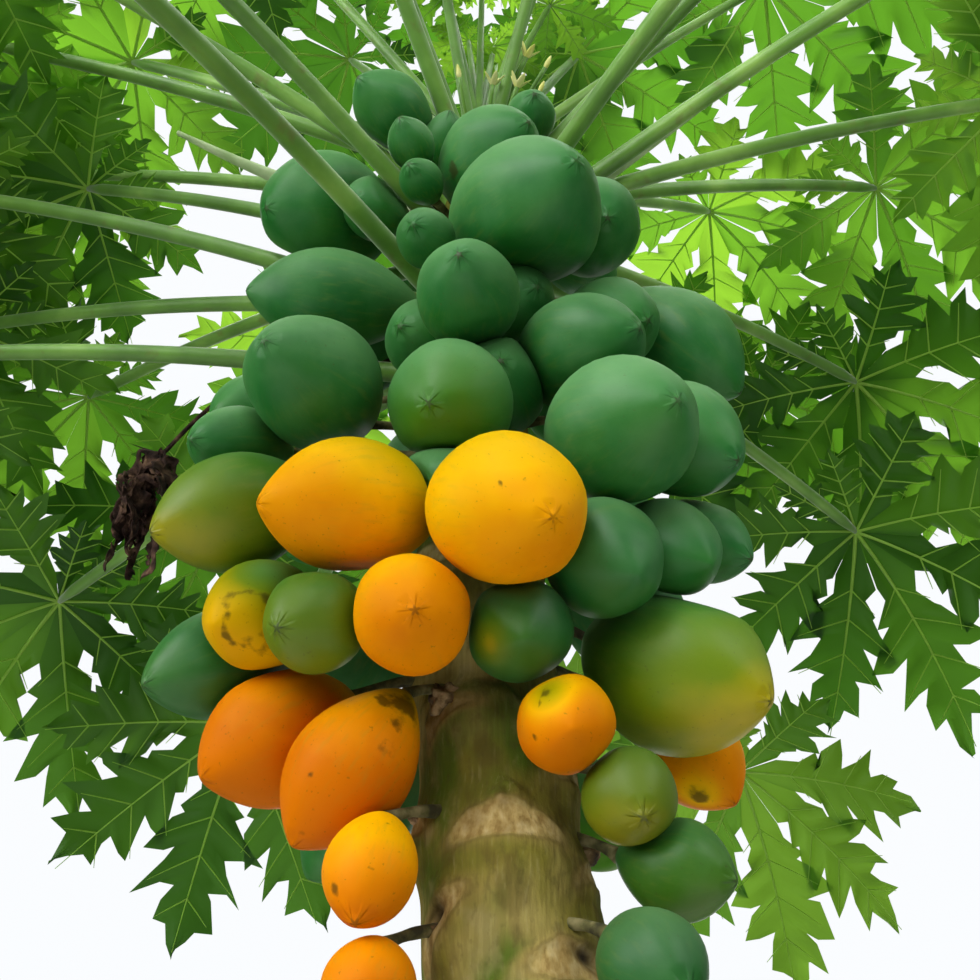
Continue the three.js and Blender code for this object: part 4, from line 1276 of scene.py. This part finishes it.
def press_on_trunk(fruit):
    z = fruit.centre.z
    low = z - fruit.length / 2
    normal = trunk_axis(z) - fruit.centre
    normal.z = 0
    normal.normalize()
    radius = float(trunk_radius(low) + abs(lean_at(z) - lean_at(low)))
    fruit.planes.append((normal, trunk_axis(z).dot(normal) - radius - PRESS_GAP))


def pressed(fruit):
    """The skin's points, drawn in behind every plane."""
    low, high = (np.array(end) for end in fruit.core)
    run = high - low
    share = np.clip((fruit.points - low) @ run / (run @ run), 0, 1)
    nearest = low + share[:, None] * run
    away = fruit.points - nearest
    normals = np.array([normal for normal, _ in fruit.planes])
    limits = np.array([limit for _, limit in fruit.planes])
    room = np.maximum(limits - nearest @ normals.T, LEAST_ROOM)
    need = np.clip(away @ normals.T, 0, None) / room
    scale = (1 + (need ** PRESS_SHARPNESS).sum(axis=1)) ** (-1 / PRESS_SHARPNESS)
    return nearest + away * scale[:, None]


for number, fruit in enumerate(fruits):
    fruit.points, fruit.along, fruit.cross = skin_points(fruit, TURN_STEP * number)
for number, fruit in enumerate(fruits):
    press_on_trunk(fruit)
    for other in fruits[number + 1:]:
        press_together(fruit, other)
    for leaf in all_leaves:
        bend = leaf.stalk(PETIOLE_BEND)
        press_on_line(fruit, (leaf.root, bend), STALK_PRESS)
        press_on_line(fruit, (bend, leaf.stalk(PETIOLE_NECK)), STALK_PRESS)
    press_on_line(fruit, (trunk_axis(DEAD_LEAF["root"]), dead_hang), DEAD_STALK_RADIUS)
print("planes that press on the first fruit:", len(fruits[0].planes))

# %% [markdown]
# The skin's colour runs from deep green through olive and yellow to orange. Each point carries
# how ripe it is, and one ramp turns that into colour, so a fruit may be green at the stalk and
# yellow at the tip. Unripe skin has a pale waxy bloom and faint streaks along the fruit; on the
# side that faces up the bloom is paler, partly wax and partly a painted sheen of the light from
# above. Fruits that hang in shade get less of that sheen and a painted shade of dark olive.
# Small freckles, the brown star at the tip and the dark stains where sap has run come on top,
# and a painted shade darkens the creases round the star. Waxy and ripe skins share all of
# this, so it is one node group; each material places it with the colours of its own star and
# of the shade in its creases.

# %% The skin's colours
RIPE_COLOURS = [
    (0.00, (10, 86, 40)), (0.12, (26, 106, 38)), (0.28, (64, 120, 10)), (0.46, (112, 136, 0)),
    (0.62, (196, 168, 0)), (0.78, (244, 182, 0)), (0.90, (234, 146, 0)), (1.00, (208, 110, 0)),
]
RIPE_UNEVEN = 0.18
STREAKS_ROUND, STREAKS_ALONG = 3.2, 2.5


def streaks_along(nodes, along, angle):
    """Faint lines along the fruit that leave its two ends clear."""
    values = {"X": nodes.times(angle, STREAKS_ROUND), "Y": nodes.times(along, STREAKS_ALONG)}
    lane = nodes.place("ShaderNodeCombineXYZ", values).outputs["Vector"]
    noise_values = {"Vector": lane, "Scale": 3, "Detail": 4}
    streaks = nodes.place("ShaderNodeTexNoise", noise_values).outputs["Fac"]
    middle = nodes.times(nodes.rise(along, 0.98, 0.6), nodes.rise(along, 0.02, 0.3))
    return nodes.times(nodes.rise(streaks, 0.48, 0.72), middle)


def living_skin(nodes, along, angle):
    """The ripening colours with streaks, bloom and freckles, a painted sheen on the upper side and
    painted shade on fruits that hang in shade.
    """
    uneven = nodes.times(nodes.minus(nodes.cloud(14, 3), 0.5), RIPE_UNEVEN)
    ripe = nodes.plus(nodes.note("ripe"), uneven)
    base = nodes.ramp(ripe, [(place, paint(*colour)) for place, colour in RIPE_COLOURS])
    base = nodes.over(base, streaks_along(nodes, along, angle), 0.15, paint(140, 148, 50))
    cloudy = nodes.times(nodes.rise(nodes.cloud(26, 5), 0.30, 0.72), 0.25)
    # Painted sheen: the bloom is paler on the upper side, where the light from above falls on it.
    bloom_and_top_sheen = nodes.plus(cloudy, nodes.rise(nodes.note("above"), -0.85, 0.75))
    bloom_and_top_sheen = nodes.times(bloom_and_top_sheen, nodes.rise(ripe, 0.55, 0.1))
    base = nodes.over(base, bloom_and_top_sheen, 0.58, paint(120, 172, 112))
    freckles = nodes.rise(nodes.cloud(260, 2), 0.66, 0.76)
    base = nodes.over(base, freckles, 0.35, paint(70, 74, 20))
    # Painted shade: dark olive over the fruits that hang in shade.
    return nodes.over(base, nodes.note("painted_shade"), 1.0, paint(34, 44, 6))


print("colours from unripe to ripe:", len(RIPE_COLOURS))

# %% [markdown]
# The star is drawn by two numbers: how far a point lies from the fruit's axis, and a cosine that
# goes round it five times. The same two make the painted shade in the creases that run out from
# the star, and the fine folds of the skin round it, which are relief.

# %% The skin as a node group
STAR_ARMS, CREASE_REACH, STAR_REACH = 5, -13, 1.3
FOLD_DEPTH, PUCKER_HEIGHT = 0.75, 9
BLOT_UNEVEN = 1.2


def tip_relief(nodes, along, far, five):
    """Fine grain everywhere, and puckered folds round the star."""
    ring = nodes.times(nodes.rise(far, 2, 8), nodes.rise(far, 19, 8))
    folds = nodes.minus(1.0, nodes.times(nodes.rise(five, 0.1, -0.9), FOLD_DEPTH))
    puckers = nodes.times(nodes.times(ring, folds), nodes.rise(along, 0.88, 0.93))
    return nodes.plus(nodes.cloud(120, 4), nodes.times(puckers, PUCKER_HEIGHT))


def build_skin():
    inputs, outputs = {"Star": "Color", "Crease": "Color"}, {"Color": "Color", "Relief": "Float"}
    nodes, given, result = new_group("papaya_skin", inputs, outputs)
    along, cross = nodes.note("along"), nodes.note("cross", "Vector")
    far = nodes.place("ShaderNodeVectorMath", {0: cross}, operation="LENGTH").outputs["Value"]
    parts = nodes.place("ShaderNodeSeparateXYZ", {"Vector": cross}).outputs
    angle = nodes.math("ARCTAN2", parts["Y"], parts["X"])
    five = nodes.math("COSINE", nodes.times(angle, STAR_ARMS))
    torn = nodes.cloud(70, 5)
    tip_end = nodes.times(nodes.rise(along, 0.90, 0.94), nodes.rise(torn, 0.28, 0.62))
    crease_shade = nodes.rise(nodes.minus(nodes.times(five, CREASE_REACH), far), -1, 8)
    star = nodes.rise(nodes.plus(far, nodes.times(five, STAR_REACH)), 4.8, 2.6)
    base = living_skin(nodes, along, angle)
    # Painted shade in the creases that run out from the star.
    base = nodes.over(base, nodes.times(crease_shade, tip_end), 0.5, given["Crease"])
    base = nodes.over(base, nodes.times(star, tip_end), 0.85, given["Star"])
    base = nodes.over(base, nodes.rise(along, 0.05, 0.01), 1.0, paint(70, 72, 36))
    blot = nodes.plus(nodes.note("stain"), nodes.times(nodes.minus(torn, 0.5), BLOT_UNEVEN))
    base = nodes.over(base, nodes.rise(blot, 0.50, 0.85), 0.75, paint(56, 48, 16))
    nodes.feed(result["Color"], base)
    nodes.feed(result["Relief"], tip_relief(nodes, along, far, five))


def skin_material(name, shine, roughness, star, crease_shade):
    """A skin with its own shine, and with its own colours for the star and for the painted shade in its
    creases.
    """
    material, nodes, shader = start_material(name, roughness)
    shader.inputs["Specular IOR Level"].default_value = shine
    skin = nodes.group("papaya_skin", Star=paint(*star), Crease=paint(*crease_shade))
    nodes.feed(shader.inputs["Base Color"], skin["Color"])
    nodes.bump(shader, skin["Relief"], 1.0, 0.0002)
    return material


build_skin()
# The last colour of each skin is the painted shade in its creases.
waxy_skin = skin_material("papaya_skin_waxy", 0.34, 0.48, (50, 60, 26), (20, 50, 20))
ripe_skin = skin_material("papaya_skin_ripe", 0.05, 0.5, (140, 80, 8), (170, 104, 8))
print("skins:", waxy_skin.name, ripe_skin.name)

# %% [markdown]
# Some skins carry marks that belong to one place: a scar rubbed by a leaf, a ring of rot, a
# blot under the stalk, specks near the tip. Each is given by its fruit, its place along and
# round the fruit, and its size. Patches of unripe green are given in the same way.

# %% Marks on single fruits
# Number of the fruit in the front table, share along the axis, angle round it as seen from the
# camera (0 faces it, 90 is its right), size and ring radius in millimetres, and strength.
MARKS = [
    (4, 0.53, -20, 18, 0, 1.0), (21, 0.91, -5, 8, 27, 0.80), (21, 0.86, -45, 10, 9, 0.6),
    (21, 0.93, 10, 15, 0, 0.5), (21, 0.80, 20, 8, 12, 0.45), (27, 0.13, -10, 24, 0, 1.0),
    (27, 0.19, 22, 13, 0, 0.95), (27, 0.27, -12, 13, 0, 0.9), (27, 0.41, -15, 8, 9, 0.6),
    (27, 0.75, 30, 6, 0, 0.8), (27, 0.60, -30, 5, 0, 0.7), (27, 0.97, 5, 8, 0, 0.6),
    (30, 0.80, -14, 9, 0, 0.8), (30, 0.83, 5, 4, 0, 0.95), (30, 0.85, 18, 3, 0, 0.9),
    (30, 0.85, 32, 3, 0, 0.9), (30, 0.85, 55, 5, 0, 1.0), (18, 0.87, -30, 5, 0, 0.95),
    (18, 0.90, -60, 3, 0, 0.9), (18, 0.77, 75, 18, 0, 0.4), (19, 0.33, -65, 24, 0, 0.55),
    (19, 0.45, -75, 14, 0, 0.62), (33, 0.87, 45, 15, 0, 1.0), (28, 0.41, -5, 5, 0, 0.95),
    (28, 0.87, 70, 8, 0, 0.8), (28, 0.79, 0, 4, 0, 0.85), (28, 0.60, -30, 4, 0, 0.85),
    (22, 0.97, 45, 9, 0, 0.5), (22, 0.87, -55, 13, 0, 0.6), (22, 0.80, -10, 6, 14, 0.4),
    (31, 0.97, -15, 9, 0, 0.6), (26, 0.75, -30, 5, 0, 0.7), (26, 0.55, 25, 4, 0, 0.7),
    (23, 0.20, 30, 14, 0, 0.6), (6, 0.62, 60, 7, 0, 0.6),
]
# Where a fruit is riper (more than 0) or greener than its own number says, with the same places.
TINTS = [
    (31, 0.50, -20, 220, -0.11), (31, 0.90, 60, 44, 0.05), (26, 0.5, 0, 200, -0.05),
    (27, 0.6, 0, 200, -0.03), (18, 0.5, 0, 200, -0.07), (23, 0.5, 0, 200, -0.08),
    (28, 0.5, 0, 200, -0.08), (33, 0.5, 0, 200, -0.08), (30, 0.5, 0, 200, -0.05),
    (24, 0.87, 80, 24, 0.36), (21, 0.60, 0, 200, -0.13), (21, 0.71, 50, 34, -0.26),
    (30, 0.79, -20, 22, -0.40), (19, 0.20, 0, 70, -0.14), (27, 0.05, 0, 34, -0.28),
    (20, 0.80, -20, 60, 0.06), (26, 0.08, 0, 40, -0.18), (12, 0.85, 0, 50, 0.06),
    (50, 0.5, 0, 400, -0.8), (33, 0.87, 45, 24, -0.3), (32, 0.6, 0, 80, 0.05),
    (34, 0.9, 0, 50, 0.05), (14, 0.9, 30, 50, 0.06),
]
# How unevenly a ring runs, and how fast that changes from place to place.
RING_WANDER, WANDER_SCALE = 0.5, 0.03
# The fruits whose tip has healed over without a star.
STARLESS = (21, 24, 30, 36, 37)
# Fruits whose bloom is weaker than on the rest, and by how much: partly thinner wax, partly less painted
# sheen where they hang in shade.
DIMMER_BLOOM = {13: 0.3, 20: 0.9, 22: 0.9, 24: 0.6, 25: 0.5, 31: 0.6, 32: 0.9, 34: 0.9, 35: 0.7, 36: 0.4}
# Fruits that hang in the shade of others, and the share of painted shade laid over them.
SHADED_FRUITS = {
    13: 0.12, 20: 0.16, 21: 0.22, 22: 0.24, 24: 0.30, 25: 0.2, 32: 0.36, 34: 0.30, 35: 0.34, 36: 0.15,
}
# The upper side stays greener: more so on half ripe fruits, whose ripeness lies near this one.
UP_IS_GREENER, UNDER_IS_RIPER = 0.10, 0.05
HALF_RIPE, HALF_RIPE_RANGE = 0.6, 0.3


def place_on(number, share, round_angle):
    """The fruit of that number and the middle of a place on its skin."""
    fruit = candidates[number]
    towards = CAMERA_PLACE / MM - fruit.centre
    front = (towards - fruit.axis * towards.dot(fruit.axis)).normalized()
    turn = math.radians(round_angle)
    out = front * math.cos(turn) + fruit.axis.cross(front) * math.sin(turn)
    radius = fruit.breadth / 2 * math.sin(math.pi * share ** BELLY) ** FULLNESS
    return fruit, fruit.stem + fruit.axis * (share * fruit.length) + out * radius


def own_value(fruit, table):
    """What a table of fruit numbers says about one fruit, or 0."""
    return sum(value for number, value in table.items() if candidates[number] is fruit)


def notes_on(fruit, points):
    """How ripe, how high on the fruit, how stained and how deep in painted shade each point of the skin
    is.
    """
    above = (points[:, 2] - fruit.centre.z) / (fruit.breadth / 2)
    half_ripe = math.exp(-((fruit.ripe - HALF_RIPE) / HALF_RIPE_RANGE) ** 2)
    ripe = fruit.ripe + fruit.ripening * (2 * fruit.along - 1)
    ripe = ripe - (UP_IS_GREENER * half_ripe + UNDER_IS_RIPER) * above
    above = above - own_value(fruit, DIMMER_BLOOM)
    painted_shade = np.full(len(points), own_value(fruit, SHADED_FRUITS))
    stain = np.zeros(len(points))
    for number, share, round_angle, size, ring, strength in MARKS:
        owner, place = place_on(number, share, round_angle)
        if owner is fruit:
            wander = np.array([noise.noise(Vector(point) * WANDER_SCALE) for point in points])
            away = np.linalg.norm(points - np.array(place), axis=1)
            far = np.abs(away - ring + wander * RING_WANDER * ring)
            stain = np.maximum(stain, strength * np.exp(-(far / size) ** 2))
    for number, share, round_angle, size, change in TINTS:
        owner, place = place_on(number, share, round_angle)
        if owner is fruit:
            far = np.linalg.norm(points - np.array(place), axis=1)
            ripe = ripe + change * np.exp(-(far / size) ** 2)
    return ripe, above, stain, painted_shade


print("marks:", len(MARKS), "tints:", len(TINTS))

# %% Make the bunches
NOTES = ("ripe", "above", "stain", "painted_shade", "along")


def make_fruit(fruit):
    """One fruit as a mesh that carries its notes for the finish."""
    bm = ball()
    layers = [bm.verts.layers.float.new(name) for name in NOTES]
    cross = bm.verts.layers.float_vector.new("cross")
    points = pressed(fruit)
    notes = (*notes_on(fruit, points), fruit.along)
    healed = any(fruit is candidates[number] for number in STARLESS)
    for k, vert in enumerate(bm.verts):
        vert.co = points[k]
        vert[cross] = fruit.cross[k] + (fruit.length if healed else 0)
        for layer, note in zip(layers, notes):
            vert[layer] = note[k]
    bmesh.ops.recalc_face_normals(bm, faces=bm.faces)
    return bm


slots = {entry["node"]: entry["material_slot"] for entry in frame["record"]["subparts"]}
for bunch, node in zip(bunches, bunch_nodes):
    bm = bmesh.new()
    for fruit in bunch:
        add(bm, make_fruit(fruit))
    finish = ripe_skin if bunch[0].ripe > RIPE_FROM else waxy_skin
    finish_piece(node.replace("fruits", "papayas"), bm, [finish], slots[node], [node])

# %% [markdown]
# Each fruit hangs on a short, tough stalk from the trunk. Most are hidden, but a few show in the
# gaps: grey, gnarled, thick where they leave the bark and where they meet the fruit.

# %% Stalks of the fruits
STALK_RADIUS = 4.8
GNARL, GNARL_SCALE = 1.3, 0.06
# How far above the fruit the stalk leaves the trunk, how deep in it, and how much it bows up.
FOOT_ABOVE, FOOT_SUNK, STALK_BOW = 24, 20, 10
# The stalk thickens by this much towards its foot and its collar, over a share of its length.
FOOT_THICKER, COLLAR_THICKER = (8, 0.18), (3, 0.10)
TOP_MARGIN = 20
stalk_material = dappled_material(
    "fruit_stalk", 0.85, (55, 4),
    [(0.36, paint(48, 46, 18)), (0.5, paint(86, 84, 42)), (0.64, paint(128, 120, 80))],
    (110, 4, 0.6, 0.003),
)[0]


def make_stalk(fruit):
    """A curved stalk from the trunk's skin to the fruit's collar."""
    collar = fruit.stem + fruit.axis * (0.02 * fruit.length)
    outward = collar - trunk_axis(collar.z)
    outward.z = 0
    outward.normalize()
    foot_height = min(collar.z + FOOT_ABOVE, TRUNK_HEIGHT - TOP_MARGIN)
    foot = trunk_axis(foot_height) + outward * (float(trunk_radius(foot_height)) - FOOT_SUNK)
    bow = (foot + collar) / 2 + Vector((0, 0, STALK_BOW))
    def path(t):
        return foot * (1 - t) ** 2 + bow * (2 * t * (1 - t)) + collar * t ** 2
    def radius(t):
        knot = GNARL * noise.noise(path(t) * GNARL_SCALE)
        ends = zip((t, 1 - t), (FOOT_THICKER, COLLAR_THICKER))
        return STALK_RADIUS + knot + sum(more * math.exp(-far / run) for far, (more, run) in ends)
    return limb(path, radius, 10, 14)


stalks = bmesh.new()
for fruit in fruits:
    add(stalks, make_stalk(fruit))
finish_piece("fruit_stalks", stalks, [stalk_material], "fruit_green")

# %% [markdown]
# Where an old fruit's stalk has broken off, a gnarled knob is left on the bark. It starts as a
# ball of small triangles, and three sizes of noise push it in and out.

# %% Broken stalks
# Height, azimuth and radius of each knob.
STUBS = [
    (1803, -37, 15), (1797, -46, 9), (1700, -74, 10), (1662, 78, 11), (1530, 66, 10), (1612, 128, 12),
    (1710, 170, 12), (1820, -150, 13), (1540, -120, 11), (1925, 150, 12), (1585, -52, 9),
]
# Scale and depth of each noise; then how far a knob is sunk and drawn out.
STUB_NOISE = [(0.07, 0.5), (0.16, 0.42), (0.4, 0.16)]
STUB_SUNK, STUB_DRAWN, STUB_LIFT = 6, 0.5, 12
stub_material = dappled_material(
    "broken_stalk", 0.9, (60, 4),
    [(0.34, paint(52, 38, 22)), (0.5, paint(104, 82, 50)), (0.66, paint(176, 150, 108))],
    (130, 4, 0.6, 0.003),
)[0]


def make_stub(height, azimuth, size):
    """A knob half sunk in the bark, drawn out a little from it."""
    bm = bmesh.new()
    bmesh.ops.create_icosphere(bm, subdivisions=4, radius=1)
    out = heading(azimuth, STUB_LIFT)
    middle = trunk_axis(height) + heading(azimuth, 0) * (float(trunk_radius(height)) - STUB_SUNK)
    for vert in bm.verts:
        place = middle + vert.co * size
        push = sum(depth * noise.noise(place * scale) for scale, depth in STUB_NOISE)
        drawn = out * (STUB_DRAWN * size * max(vert.co.dot(out), 0))
        vert.co = middle + vert.co * (size * (1 + push)) + drawn
    return bm


stubs = bmesh.new()
for row in STUBS:
    add(stubs, make_stub(*row))
finish_piece("broken_stalks", stubs, [stub_material], "bark")

# %% [markdown]
# ## Dry and small things
#
# A dead leaf still hangs at the left of the fruits. Its lobes have shrivelled to dark, twisted
# rags, eaten to lace. A rag is a long grid, bent over from the stalk's end so that it hangs,
# crumpled by noise; faces where a second noise is high are taken out before it gets thickness.

# %% The dead leaf
RAG_COUNT, RAG_SEED = 11, 90
RAG_CRUMPLE = [(0.018, 14), (0.06, 7), (0.2, 2)]
RAG_HOLES_ABOVE, RAG_HOLE_SCALE, RAG_THICKNESS = 0.30, 0.11, 1.0
RAG_ALONG, RAG_ACROSS = 34, 8
# How much a rag twists along its run, how high it first rises, and the curve of its hanging.
RAG_TWIST, RAG_RISE, RAG_HANG = 3.4, 10, 1.25
# Rags leave the stalk about its own heading; every fourth one leaves the other way.
RAG_HEADING, RAG_FAN, TURNED_RAG = -90, 70, 3
RAG_SPREADS, RAG_LENGTHS, RAG_WIDTHS = (12, 32), (0.55, 1.0), (10, 20)
STALK_ARCH, ARCH_FROM = 70, 0.6
DRY_STALK_RADIUS, DRY_STALK_LOSS = 4.6, 1.6
dead_material, _, dead_shader = dappled_material(
    "dead_leaf", 0.92, (70, 5),
    [(0.32, paint(22, 14, 13)), (0.52, paint(58, 40, 34)), (0.70, paint(104, 78, 62))],
    (140, 5, 0.9, 0.004),
)
dead_shader.inputs["Specular IOR Level"].default_value = 0.15


def arc(share):
    """Half a wave: 0 at 0, highest halfway, and 0 again at 1."""
    return math.sin(math.pi * share)


def make_rag(azimuth, spread, length, width, seed):
    """One shrivelled lobe that leaves the stalk sideways and then hangs."""
    bm = bmesh.new()
    bmesh.ops.create_grid(bm, x_segments=RAG_ACROSS, y_segments=RAG_ALONG, size=1)
    out = heading(azimuth, 0)
    for vert in bm.verts:
        t = (vert.co.y + 1) / 2
        turn = RAG_TWIST * t + seed
        half = width * arc(min(0.10 + 0.86 * t, 1)) ** 0.6
        across = Vector((math.cos(turn), math.sin(turn), 0.3)) * (vert.co.x * half)
        sideways = out * (spread * arc(min(1.25 * t, 1) ** 0.8 * 0.6))
        down = Vector((0, 0, RAG_RISE * arc(min(4 * t, 1)) - length * t ** RAG_HANG))
        place = dead_hang + (sideways + down) + across
        vert.co = place
        for scale, size in RAG_CRUMPLE:
            crumple = noise.noise_vector(place * scale + Vector((seed, 0, 0)))
            vert.co += crumple * (size * min(5 * t, 1))
    eaten = []
    for face in bm.faces:
        middle = face.calc_center_median() * RAG_HOLE_SCALE
        if noise.noise(middle + Vector((0, seed, 0))) > RAG_HOLES_ABOVE:
            eaten.append(face)
    bmesh.ops.delete(bm, geom=eaten, context="FACES")
    bmesh.ops.solidify(bm, geom=bm.faces, thickness=RAG_THICKNESS)
    return bm


def dead_stalk(t):
    """The dry stalk: straight between the fruits, then arched over to where the rags hang."""
    arch = STALK_ARCH * arc(max(t - ARCH_FROM, 0) / (1 - ARCH_FROM)) if t < 1 else 0
    return dead_root.lerp(dead_hang, t) + Vector((0, 0, arch))


dead = bmesh.new()
dead_root = trunk_axis(DEAD_LEAF["root"])
add(dead, limb(dead_stalk, lambda t: DRY_STALK_RADIUS - DRY_STALK_LOSS * t, 8, 40))
rag_source = chance(RAG_SEED)
# Noise vectors start from the clock unless they are given a seed.
noise.seed_set(RAG_SEED)
for k in range(RAG_COUNT):
    azimuth = RAG_HEADING + between(-RAG_FAN, RAG_FAN, rag_source) + (180 if k % 4 == TURNED_RAG else 0)
    spread = between(*RAG_SPREADS, rag_source)
    length = DEAD_LEAF["length"] * between(*RAG_LENGTHS, rag_source)
    width = between(*RAG_WIDTHS, rag_source)
    add(dead, make_rag(azimuth, spread, length, width, 0.9 * k))
finish_piece("dead_leaf_rags", dead, [dead_material], "dead_leaf", ["dead_leaf"])

# %% [markdown]
# Among the green stalks a few have lost their blades. They are pale, flat and bent like straps.
# A strap is a limb whose rings are squeezed across its run.

# %% Bare old stalks
# Heights and azimuths of the root, then of the end, with its distance from the axis, the sag in
# the middle, and the breadth at the root.
STRAPS = [(2630, -76, 2745, -78, 474, 26, 19), (2585, 74, 2801, 74, 359, 0, 19)]
STRAP_FLATNESS, STRAP_SUNK = 0.4, 8
STRAP_LOSS, STRAP_TAPER = 0.75, 1.5
strap_material = dappled_material(
    "bare_stalk", 0.6, (20, 3), [(0.35, paint(150, 176, 120)), (0.65, paint(196, 210, 168))],
)[0]


def make_strap(low, low_azimuth, high, high_azimuth, reach, sag, breadth):
    root = trunk_axis(low) + heading(low_azimuth, 0) * (float(trunk_radius(low)) - STRAP_SUNK)
    end = trunk_axis(high) + heading(high_azimuth, 0) * reach
    def path(t):
        return root.lerp(end, t) - Vector((0, 0, sag * arc(t)))
    bm = limb(path, lambda t: breadth * (1 - STRAP_LOSS * t ** STRAP_TAPER), 12, 24)
    for vert in bm.verts:
        t = min(max((vert.co - root).dot(end - root) / (end - root).length_squared, 0), 1)
        middle = path(t)
        vert.co.z = middle.z + (vert.co.z - middle.z) * STRAP_FLATNESS
    return bm


straps = bmesh.new()
for row in STRAPS:
    add(straps, make_strap(*row))
finish_piece("bare_stalks", straps, [strap_material], "leaf")

# %% [markdown]
# Between the leaf stalks at the top stand the flowers that will become the next fruits: cream
# yellow, on short green stalks. Some are still pointed buds, others have opened their five narrow
# petals. Bud and petals are the same round ball, drawn out and turned.

# %% Flower buds
# Azimuth, height, distance from the axis, length, and whether it has opened.
FLOWERS = [
    (31, 2908, 152, 27, True), (40, 2879, 168, 24, False), (27, 2832, 137, 28, True),
    (37, 2808, 160, 22, False), (-14, 2870, 120, 24, False), (12, 2850, 118, 26, True),
    (-60, 2800, 96, 22, False), (95, 2800, 100, 24, True), (150, 2790, 96, 24, False),
    (-120, 2790, 100, 24, True), (-160, 2800, 90, 22, False),
]
PETALS = 5
FLOWER_LIFT, PETAL_SPREAD, OPEN_BUD = 48, 42, 0.6
# Breadth of a bud, then breadth and thickness of a petal, as shares of the flower's length.
BUD_BREADTH, PETAL_BREADTH, PETAL_THICKNESS = 0.24, 0.26, 0.06
# A flower's stalk starts this far below it and this deep in the bark, and sags.
FLOWER_DROP, FLOWER_SUNK, FLOWER_SAG = 50, 6, 9
bud_material = dappled_material(
    "flower_bud", 0.5, (30, 2), [(0.35, paint(216, 212, 110)), (0.65, paint(244, 238, 170))],
)[0]


def add_petal(bm, place, length, breadth, thickness):
    """A ball drawn out along its own z to a pointed petal, at the given place."""
    part = bmesh.new()
    bmesh.ops.create_uvsphere(part, u_segments=8, v_segments=8, radius=1)
    for vert in part.verts:
        t = (vert.co.z + 1) / 2
        slim = 1 - 0.5 * t
        x, y = vert.co.x * breadth * slim, vert.co.y * thickness * slim
        vert.co = place @ Vector((x, y, t * length))
    add(bm, part)


def make_flower(azimuth, height, reach, length, opened):
    """A flower and its stalk; faces of slot 1 are the green ones."""
    base = trunk_axis(height) + heading(azimuth, 0) * reach
    axis = heading(azimuth, FLOWER_LIFT)
    stand = Matrix.Translation(base) @ axis.to_track_quat("Z", "Y").to_matrix().to_4x4()
    bm = bmesh.new()
    bud = length * BUD_BREADTH
    add_petal(bm, stand, length * (OPEN_BUD if opened else 1), bud, bud)
    tilt = Matrix.Rotation(math.radians(PETAL_SPREAD), 4, "X")
    for k in range(PETALS if opened else 0):
        out = Matrix.Rotation(math.tau * k / PETALS, 4, "Z") @ tilt
        add_petal(bm, stand @ out, length, length * PETAL_BREADTH, length * PETAL_THICKNESS)
    foot_height = min(height - FLOWER_DROP, TRUNK_HEIGHT - TOP_MARGIN)
    skin = float(trunk_radius(foot_height)) - FLOWER_SUNK
    foot, head = trunk_axis(foot_height) + heading(azimuth, 0) * skin, base + axis * 2
    def path(t):
        return foot.lerp(head, t) - Vector((0, 0, FLOWER_SAG * arc(t)))
    stalk = limb(path, lambda t: 2.6 + 1.2 * t, 7, 8)
    paint_faces(add(bm, stalk), 1)
    return bm


flowers = bmesh.new()
for row in FLOWERS:
    add(flowers, make_flower(*row))
finish_piece("flower_buds", flowers, [bud_material, petiole_material], "young_leaf")

# %% The sizes of the solids and of the dressed plant
boxes = [[[float(c) for c in corner] for corner in box] for box in (CAD_BOX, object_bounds())]
print("boxes", [[[round(c, 3) for c in corner] for corner in box] for box in boxes])
